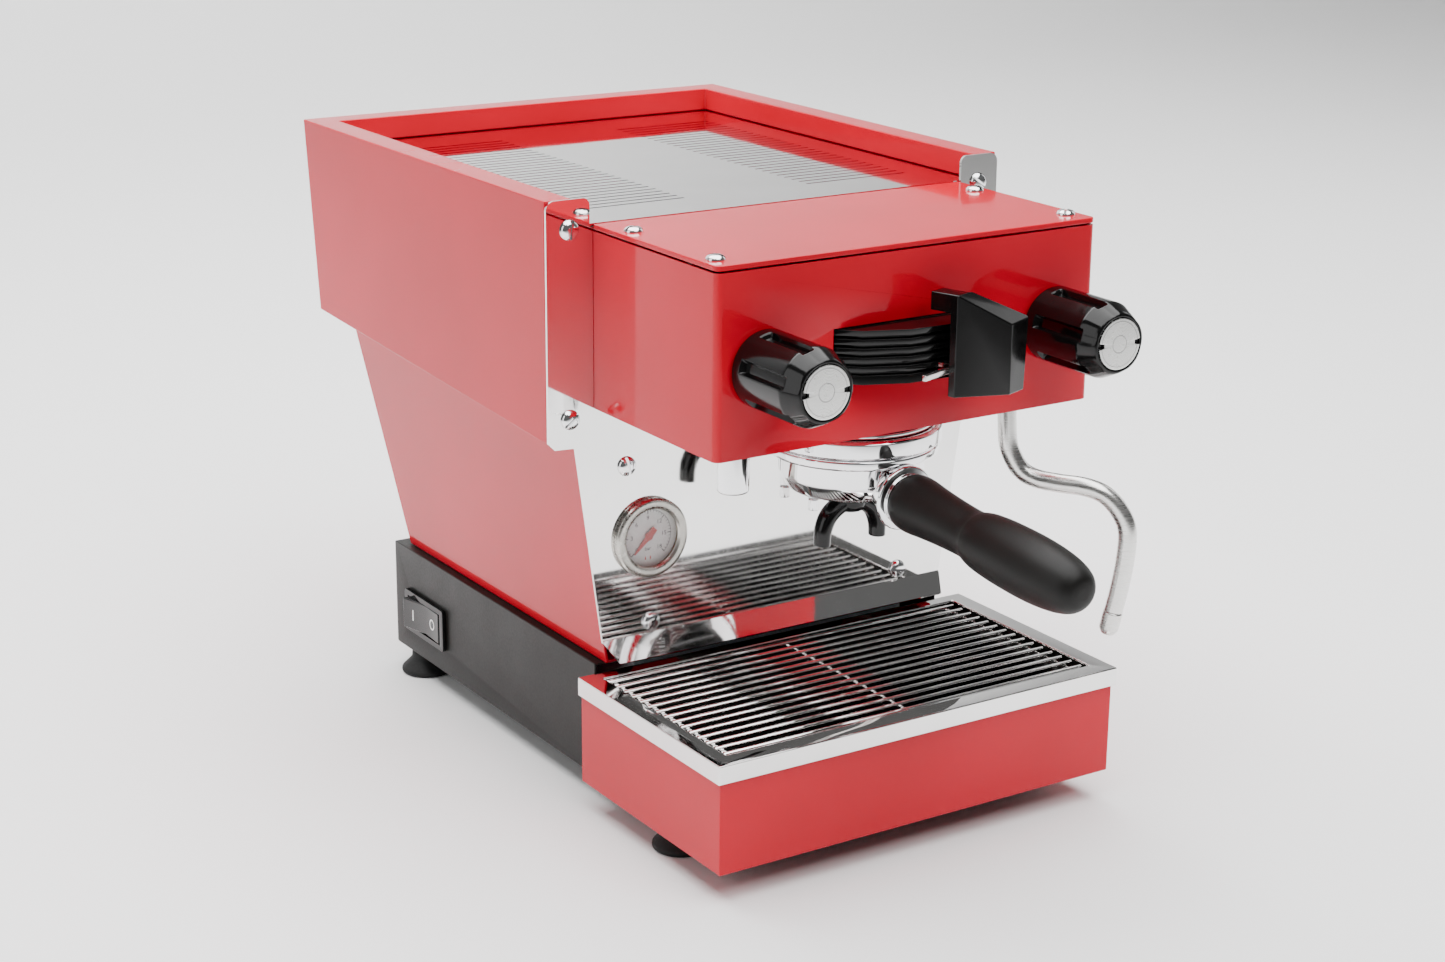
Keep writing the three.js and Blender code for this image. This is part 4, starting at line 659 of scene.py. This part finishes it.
# %% water spout, drain and feet
spout = revolve(
    rounded([(0, 200), (5.5, 200), (5.5, 198.5), (7.4, 198.5), (8.3, 199.6), (8.3, 234.3), (0, 234.3)], 0.5),
    at(-OUTLET_X, OUTLET_Y, 0), UP, 64,
)
piece("water_spout_fine", "chassis", CHROME, [spout], ["water_spout"])
low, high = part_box("drain_nozzle")
drain_place = np.array([(low.x + high.x) / 2, (low.y + high.y) / 2, 0])
drain = revolve(
    rounded([
        (0, 160), (1.8, 160), (1.8, 152), (3, 152), (3, 158), (2.6, 158.6), (3, 159.2), (3, 227.3),
        (6, 227.3), (6, 231.3), (0, 231.3),
    ], 0.3),
    drain_place, UP, 40,
)
piece("drain_fine", "chassis", CHROME, [drain], ["drain_nozzle"])
for name in ("rear_left", "rear_right", "front_left", "front_right"):
    low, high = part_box("foot_" + name)
    middle = np.array([(low.x + high.x) / 2, (low.y + high.y) / 2, 0])
    wide, top = (high.x - low.x) / 2 / MM, high.z / MM
    profile = [
        (0, 0), (wide - 1.2, 0), (wide, 1), (wide, 3), (wide - 5.4, 8.4), (9.1, 10), (9, top), (0, top),
    ]
    foot = revolve(rounded(profile, 1.2), middle, UP, 56)
    piece("foot_fine_" + name, "chassis", RUBBER, [foot], ["foot_" + name])

# %% [markdown]
# ## Knobs
# A knob is a round bar with deep slots between its lobes. Its radius is a function of the angle and of
# the distance along the axis: the slots are smooth steps of both, and the nose is cut in facets.


# %% knobs
def step(value, start, end):
    """0 before start, 1 after end, and a smooth S between them."""
    t = np.clip((value - start) / (end - start), 0, 1)
    return t * t * (3 - 2 * t)


KNOB_BACK, KNOB_NOSE = -118.5, -171.1
LOBES = 6
SLOT_DEPTH = 3.3
FACET_CUT = 0.66
LOBE_TURN = 0.26


def knob_surface(side):
    """Radius = profile(along) - slot depth * slot(angle) * reach(along); the nose follows a six-sided
    outline between the lobes."""
    line = rounded(
        [
            (4.3, KNOB_BACK), (18.8, KNOB_BACK), (20, KNOB_BACK - 1.4), (20, KNOB_NOSE + 10),
            (19, KNOB_NOSE + 7.5), (16.4, KNOB_NOSE + 1.6), (15.4, KNOB_NOSE), (13.6, KNOB_NOSE),
            (13.6, KNOB_NOSE + 1.8), (0, KNOB_NOSE + 1.8),
        ],
        0.8, 3,
    )
    place = np.concatenate([[0], np.cumsum(np.hypot(*np.diff(line, axis=0).T))])
    fine = np.linspace(0, place[-1], 240)
    fine = np.unique(np.concatenate([fine, place]))
    radius = np.interp(fine, place, line[:, 0])
    along = np.interp(fine, place, line[:, 1])
    turn = np.linspace(0, 2 * np.pi, 240, endpoint=False)
    sector = np.abs(((turn / (2 * np.pi) * LOBES) % 1) - 0.5) * 2
    slot = 1 - step(sector, 0.26, 0.36)
    from_nose = step(along, KNOB_NOSE + 8, KNOB_NOSE + 10.5)
    reach = from_nose * (1 - step(along, KNOB_BACK - 9.5, KNOB_BACK - 7.5))
    outside = step(radius, 16.5, 19)
    facet = FACET_CUT * (1 - np.cos((sector - 1) * np.pi / 2))
    front = (1 - step(along, KNOB_NOSE + 7, KNOB_NOSE + 12)) * step(radius, 14.5, 16.5)
    slots = SLOT_DEPTH * slot[None] * (reach * outside)[:, None]
    full = radius[:, None] - slots - facet[None] * front[:, None]
    tilt = turn + LOBE_TURN
    x = side * KNOB_X + full * np.cos(tilt)[None]
    z = KNOB_Z + full * np.sin(tilt)[None]
    y = np.repeat(along[:, None], len(turn), 1) + PLATE_Y
    return np.stack([x, y, z], -1).reshape(-1, 3) * MM, grid_faces(len(fine), len(turn))


def cap_surface(side):
    """A disc drawn as columns of constant x, each as high as the circle there; between the notch's
    sides the outer columns stop short, which cuts a notch at each end of the middle line."""
    radius, face, back = 13.3, KNOB_NOSE - 0.3, KNOB_NOSE + 1.3
    count = 360
    turn = np.linspace(0, 2 * np.pi, count, endpoint=False)
    edge = np.full(count, radius)
    height = radius * np.abs(np.sin(turn))
    notch = height < 1.6
    edge[notch] = 10.0
    outline = [(0.0, face), (1.0, face), (1.0, back), (0.0, back)]
    rows = []
    for share, along in rounded(outline, 0.03, 2):
        x = side * KNOB_X + share * edge * np.cos(turn)
        z = KNOB_Z + share * edge * np.sin(turn)
        rows.append(np.stack([x, np.full(count, along + PLATE_Y), z], -1))
    return np.concatenate(rows) * MM, grid_faces(len(rows), count)


for side, name, body in ((1, "steam", "steam_control"), (-1, "water", "water_control")):
    piece(f"{name}_knob_fine", body, GLOSS_BLACK, [knob_surface(side)], [f"{name}_knob"], 42)
    cap = cap_surface(side)
    piece(f"{name}_cap_fine", body, CAPS[side], [cap], [f"{name}_knob_cap"], 35)
print("knobs made")

# %% [markdown]
# ## Steam wand
# The wand is one bent tube: straight down from its ball, out to the side, and down again. The curve
# runs through the places where the bends start and end.

# %% wand
WAND_TURN = math.radians(43)
BALL_R, BALL_Z = 8, 234
WAND_LINE = [
    (0, 234), (0.2, 222), (0.6, 213), (1.7, 199), (4.2, 191), (9.4, 183), (17.7, 178.6), (30, 176.7),
    (43.7, 175.5), (54.6, 171.8), (63, 163.4), (67.9, 152.4), (67.7, 136.4), (65.4, 119), (62.9, 106),
]
wand_line = smooth_line(WAND_LINE, 150)
wand_path = np.stack(
    [
        at(OUTLET_X + out * math.cos(WAND_TURN), OUTLET_Y - out * math.sin(WAND_TURN), z)
        for out, z in wand_line
    ]
)
wand_tube = sweep(wand_path, 5.15, 32)
ball_line = [(BALL_R * math.sin(t), -BALL_R * math.cos(t)) for t in np.linspace(0, math.pi, 25)]
ball = revolve(ball_line, at(OUTLET_X, OUTLET_Y, BALL_Z), UP, 48)
piece("wand_fine", "wand", BRUSHED, [wand_tube, ball], ["wand_tube"])
tip_way = wand_path[-1] - wand_path[-3]
tip_line = [(0, 0.3), (4.8, 0.3), (5.4, 0.9), (5.4, 10.6), (3.6, 13.6), (1.2, 14), (1.2, 12), (0, 12)]
tip = revolve(rounded(tip_line, 0.5), wand_path[-1], tip_way, 48)
piece("wand_tip_fine", "wand", BRUSHED, [tip], ["wand_tip"])
socket_line = [(8.5, 239.6), (8.5, 231.5), (7.9, 229), (11, 229), (11, 239.6), (8.5, 239.6)]
socket = revolve(rounded(socket_line, 0.5), at(OUTLET_X, OUTLET_Y, 0), UP, 56)
piece("wand_socket_fine", "wand_mount", CHROME, [socket], ["wand_socket"])
print("wand of", round(float(np.sum(np.linalg.norm(np.diff(wand_path, axis=0), axis=1))) * 1000), "mm")

# %% [markdown]
# ## Grill
# Round wires lie across three square rods and are welded to them, so a small bead sits at each
# crossing. All wires are the same rod moved along Y, which numpy does in one addition.

# %% grill
WIRE_TOP = 76.3
WIRE_R = 1.3
WIRE_FIRST, WIRE_PITCH, WIRES = -124.9, 8.12, 14
REACH = 116.3  # half the length of a wire
ROD_X = (-112.4, 0, 112.4)
ROD_HALF = 1.3


def many(surface, offsets):
    """Copies of one surface, each moved by its own offset in millimetres."""
    points, faces = surface
    moved = points[None] + np.asarray(offsets, float)[:, None] * MM
    shifts = np.arange(len(offsets))[:, None, None] * len(points)
    return moved.reshape(-1, 3), (faces[None] + shifts).reshape(-1, faces.shape[-1])


def bar(low, high):
    """A box between two corners in millimetres, with slightly rounded long edges, as a swept square."""
    (x0, y0, z0), (x1, y1, z1) = low, high
    along = 0 if x1 - x0 > y1 - y0 else 1
    half = [(x1 - x0) / 2, (y1 - y0) / 2, (z1 - z0) / 2]
    middle = [(x0 + x1) / 2, (y0 + y1) / 2, (z0 + z1) / 2]
    wide = half[1 - along]
    corner = 0.35
    tall = half[2]
    section = np.array([
        (wide - corner, tall), (wide, tall - corner), (wide, corner - tall), (wide - corner, -tall),
        (corner - wide, -tall), (-wide, corner - tall), (-wide, tall - corner), (corner - wide, tall),
    ])
    rows = []
    for share, size in ((-1, 0), (-1, 0.86), (-0.997, 1), (0.997, 1), (1, 0.86), (1, 0)):
        ring_points = np.zeros((8, 3))
        ring_points[:, along] = share * half[along]
        ring_points[:, 1 - along] = section[:, 0] * size
        ring_points[:, 2] = section[:, 1] * size
        rows.append(ring_points + middle)
    points = np.concatenate(rows) + (0, PLATE_Y, 0)
    return points * MM, grid_faces(6, 8)


wire = revolve(
    rounded([(0, -REACH), (WIRE_R, -REACH), (WIRE_R, REACH), (0, REACH)], 0.4, 2),
    at(0, WIRE_FIRST, WIRE_TOP - WIRE_R), (1, 0, 0), 20,
)
places = WIRE_PITCH * np.arange(WIRES)
wires = many(wire, np.stack([0 * places, places, 0 * places], 1))
REAR_BAR = WIRE_FIRST + WIRE_PITCH * (WIRES - 1) + 8.6
FRONT_BAR = WIRE_FIRST - 3.3
rods = [bar((x - ROD_HALF, FRONT_BAR, 71.4), (x + ROD_HALF, REAR_BAR, 74.2)) for x in ROD_X]
rails = [bar((-REACH, y - 1.5, 72.9), (REACH, y + 1.5, 76.1)) for y in (FRONT_BAR, REAR_BAR)]
bead_line = [(1.9 * math.sin(t), -0.9 * math.cos(t)) for t in np.linspace(0, math.pi, 7)]
bead = revolve(bead_line, at(0, WIRE_FIRST, 73.9), (0, 1, 0), 10)
bead_places = [(x + dx, y, 0) for x in ROD_X for y in places for dx in (-ROD_HALF, ROD_HALF)]
beads = many(bead, bead_places)
piece("grill_fine", "grill", MIRROR, [wires, *rods, *rails, beads], ["drip_grill"], 45)
print(WIRES, "wires and", len(bead_places), "weld beads")

# %% [markdown]
# ## Gauge
# A satin ring holds a lens over a printed dial. The needle has a broad tail and a small hub. The
# numbers are text turned into meshes, because the export only knows meshes.

# %% gauge
GAUGE_AT = at(GAUGE[0], 0, GAUGE[1])
FRONT = (0, -1, 0)
bezel_line = [
    (19.1, 0.3), (22.25, 0.3), (22.25, 3.0), (21.2, 4.1), (20, 4.3), (17.6, 4.1), (16.4, 3.2), (16, 2.4),
    (19.1, 2.4), (19.1, 0.3),
]
bezel = revolve(rounded(bezel_line, 0.5), GAUGE_AT, FRONT, 112)
piece("bezel_fine", "chassis", BEZEL, [bezel], ["gauge_bezel"], 50)
lens_line = [(0, 2.15), (18.6, 2.15), (18.6, 1.0), (0, 1.0)]
lens = revolve(rounded(lens_line, 0.2), GAUGE_AT, FRONT, 64)
piece("lens_fine", "chassis", LENS, [lens], ["gauge_lens"])
dial_line = [(0, -1.6), (18.3, -1.6), (18.3, -2.6), (0, -2.6)]
dial_disc = revolve(rounded(dial_line, 0.1), GAUGE_AT, FRONT, 64)
piece("dial_fine", "chassis", DIAL, [dial_disc], ["gauge_dial"])


def flat_shape(outline, front, back):
    """A flat piece from an outline of (x, z) round the gauge's middle, between two depths in front of
    the plate: two rings of points closed by a middle point each."""
    ring_points = np.asarray(outline, float)
    rows = []
    for share, depth in ((0, front), (1, front), (1, back), (0, back)):
        flat = ring_points * share
        rows.append(np.stack([flat[:, 0], np.full(len(flat), -depth), flat[:, 1]], 1))
    return np.concatenate(rows) * MM + GAUGE_AT, grid_faces(4, len(ring_points))


def turned_outline(outline, degrees):
    """The outline turned clockwise as seen from the front."""
    a = math.radians(degrees)
    points = np.asarray(outline, float)
    x, z = points[:, 0], points[:, 1]
    return np.stack([x * math.cos(a) + z * math.sin(a), z * math.cos(a) - x * math.sin(a)], 1)


blade_line = [(-1.6, -5.5), (1.6, -5.5), (2.0, -2.5), (0.35, 12.8), (-0.35, 12.8), (-2.0, -2.5)]
blade = turned_outline(blade_line, -135)
hub = revolve(rounded([(0, -1.0), (2.4, -1.0), (2.4, 0.3), (0, 0.4)], 0.3), GAUGE_AT, FRONT, 32)
needle = [flat_shape(blade, -0.1, -0.6), hub]
piece("needle_fine", "gauge_hand", NEEDLE, needle, ["gauge_needle"])


def number_on_dial(name, words, x, z, size):
    """A word as a thin mesh on the dial, its middle at (x, z) from the gauge's middle in millimetres."""
    text = bpy.data.curves.new(name, "FONT")
    text.body = words
    text.size = size * MM
    text.align_x, text.align_y = "CENTER", "CENTER"
    text.extrude = 0.00004
    holder = bpy.data.objects.new(name + "_text", text)
    bpy.context.scene.collection.objects.link(holder)
    bpy.context.view_layer.update()
    mesh = bpy.data.meshes.new_from_object(holder.evaluated_get(bpy.context.evaluated_depsgraph_get()))
    bpy.data.objects.remove(holder)
    place = GAUGE_AT + np.array([x, 1.55, z]) * MM
    mesh.transform(Matrix.Translation(Vector(place)) @ Matrix.Rotation(math.pi / 2, 4, "X"))
    mesh.name = name
    return finish_piece(name, "chassis", PRINT, mesh, (), 30, False)


NUMBER_RING = 10.1
for i in range(7):
    a = math.radians(-135 + 45 * i)
    x, z = NUMBER_RING * math.sin(a), NUMBER_RING * math.cos(a)
    number_on_dial(f"dial_number_{i}", str(3 * i), x, z, 3.4)
number_on_dial("dial_unit", "bar", 0, -7.2, 3.0)

# %% [markdown]
# ## Screws
# The plates are held by slotted screws with domed heads. Each head is a sheet of columns at constant
# x, as long as the circle is wide there, so the slot's walls run exactly along columns.


# %% screws
def screw_head(centre, normal, radius, height, slot_turn):
    """Height = dome(distance) outside the slot and at most 0.35 of the full height inside it. The dome
    falls to 0 at the rim as the square root of 1 - (distance / radius)^3."""
    half = 0.085
    outer = np.linspace(half + 1e-3, 1, 22)
    u = np.concatenate([np.linspace(-1, -half - 1e-3, 22), np.linspace(-half, half, 5), outer])
    v = np.sin(np.linspace(-1, 1, 41) * math.pi / 2)
    across, along = np.meshgrid(np.sin(u * math.pi / 2), v, indexing="ij")
    along = along * np.sqrt(np.maximum(1 - across**2, 0))
    distance = np.minimum(np.hypot(across, along), 1)
    dome = np.sqrt(np.maximum(1 - distance**3, 0))
    inside = (np.abs(u) <= half)[:, None]
    rise = np.where(inside, np.minimum(dome, 0.35), dome) * height
    way, side, up = axes_along(normal)
    c, s = math.cos(slot_turn), math.sin(slot_turn)
    a = (across * c - along * s) * radius
    b = (across * s + along * c) * radius
    points = a[..., None] * side + b[..., None] * up + rise[..., None] * way
    top = points.reshape(-1, 3) * MM + centre
    flat = (a[..., None] * side + b[..., None] * up).reshape(-1, 3) * MM + centre
    faces = grid_faces(len(u), len(v), False)
    return [(top, faces), (flat, faces[:, ::-1])]


PLATE_SCREWS = [(131.5, 321.5, 0.5), (132, 221.3, 1.3), (98, 190.9, 0.2), (83, 100.5, 1.0)]
for i, (x, z, turn) in enumerate(PLATE_SCREWS):
    for side, name in ((-1, "left"), (1, "right")):
        head_parts = screw_head(at(side * x, -0.05, z), FRONT, 5.4, 3.1, turn * side + 0.4)
        piece(f"plate_screw_{i}_{name}", "chassis", CHROME, head_parts, (), 40)
for i, y in enumerate((-103, -26)):
    for side, name in ((-1, "left"), (1, "right")):
        head_parts = screw_head(at(side * 109, y, 323.35), UP, 5.0, 2.6, 0.8 * side + i)
        piece(f"lid_screw_{i}_{name}", "chassis", CHROME, head_parts, (), 40)
print("twelve screws")

# %% [markdown]
# ## Light and camera
# A pale sweep of paper carries the machine. A big soft lamp hangs above, one is high in front, a weak
# one stands on each side and one washes the wall. The room itself is dim, so the upright faces stay deep
# in colour. Far in front the paper is darker, which keeps it from showing white in the glossy faces.


# %% stage
def backdrop():
    """Floor that curves up into a wall: height is 0 as far as the bend, then a quarter circle, then
    straight up."""
    bend, size = 1.2, 9.0
    t = np.linspace(0, math.pi / 2, 24)
    y = np.concatenate([[-size], 2.2 + bend * np.sin(t), [2.2 + bend]])
    z = np.concatenate([[0], bend * (1 - np.cos(t)), [size]])
    x = np.linspace(-size, size, 3)
    shape = (len(y), len(x))
    columns = [np.broadcast_to(x[None], shape), np.broadcast_to(y[:, None], shape)]
    points = np.stack([*columns, np.broadcast_to(z[:, None], shape)], -1).reshape(-1, 3)
    mesh = bpy.data.meshes.new("backdrop")
    mesh.from_pydata(points.tolist(), [], grid_faces(len(y), 3, False).tolist())
    mesh.shade_smooth()
    paper = Finish("paper", (0.93, 0.93, 0.93), 0.8, Specular_IOR_Level=0.1)
    _, depth, _ = paper.axes()
    pale = paper.spread(depth, 0, 1, -1.25, -0.7)
    paper.set("Base Color", paper.blend(pale, (0.30, 0.30, 0.30), (0.95, 0.95, 0.95)))
    paper.set("Roughness", paper.spread(paper.noise(6, 2), 0.75, 0.85))
    mesh.materials.append(paper.material)
    made = bpy.data.objects.new("backdrop", mesh)
    bpy.context.scene.collection.objects.link(made)


def lamp(name, place, target, size, power):
    """A rectangular soft lamp that looks at a point, its power in watts."""
    light = bpy.data.lights.new(name, "AREA")
    light.shape = "RECTANGLE"
    light.size, light.size_y = size
    light.energy = power
    made = bpy.data.objects.new(name, light)
    bpy.context.scene.collection.objects.link(made)
    made.location = place
    made.rotation_euler = (Vector(target) - Vector(place)).to_track_quat("-Z", "Y").to_euler()


backdrop()
MIDDLE = (0, -0.02, 0.18)
lamp("above", (0.0, 0.1, 1.9), MIDDLE, (2.4, 2.4), 112)
lamp("left", (-2.2, 0.1, 1.0), MIDDLE, (1.2, 1.8), 15)
lamp("front", (0.2, -1.7, 2.1), MIDDLE, (1.6, 1.0), 30)
lamp("wall", (0.0, 1.9, 2.7), (0, 3.4, 1.0), (3.0, 0.8), 90)
lamp("right", (2.3, 0.3, 0.9), MIDDLE, (0.9, 1.8), 9)
world = bpy.data.worlds.new("room")
world.use_nodes = True
world.node_tree.nodes["Background"].inputs[0].default_value = (1.0, 1.0, 1.0, 1.0)
world.node_tree.nodes["Background"].inputs[1].default_value = 0.13
bpy.context.scene.world = world

# %% [markdown]
# The camera looks slightly down on the machine from its left front. Its direction comes from two
# angles and a very small roll, and its distance is measured from a point near the group.

# %% camera
AZIMUTH, ELEVATION, ROLL = math.radians(-32.898), math.radians(17.231), math.radians(0.510)
DISTANCE = 1.275216
LENS = 64.063
target = at(-102.213, -100.362, 209.925)
level = np.array([math.sin(AZIMUTH), -math.cos(AZIMUTH), 0])
away = level * math.cos(ELEVATION) + np.array([0, 0, math.sin(ELEVATION)])
right = np.array([math.cos(AZIMUTH), math.sin(AZIMUTH), 0])
up = np.cross(away, right)
turned_right = right * math.cos(ROLL) + up * math.sin(ROLL)
turned_up = up * math.cos(ROLL) - right * math.sin(ROLL)
camera = bpy.data.objects.new("camera", bpy.data.cameras.new("camera"))
bpy.context.scene.collection.objects.link(camera)
camera.data.lens = LENS
camera.data.sensor_width = 36
camera.data.clip_start = 0.01
turn_matrix = Matrix(np.stack([turned_right, turned_up, away], 1).tolist()).to_4x4()
camera.matrix_world = Matrix.Translation(Vector(target + away * DISTANCE)) @ turn_matrix
bpy.context.scene.camera = camera
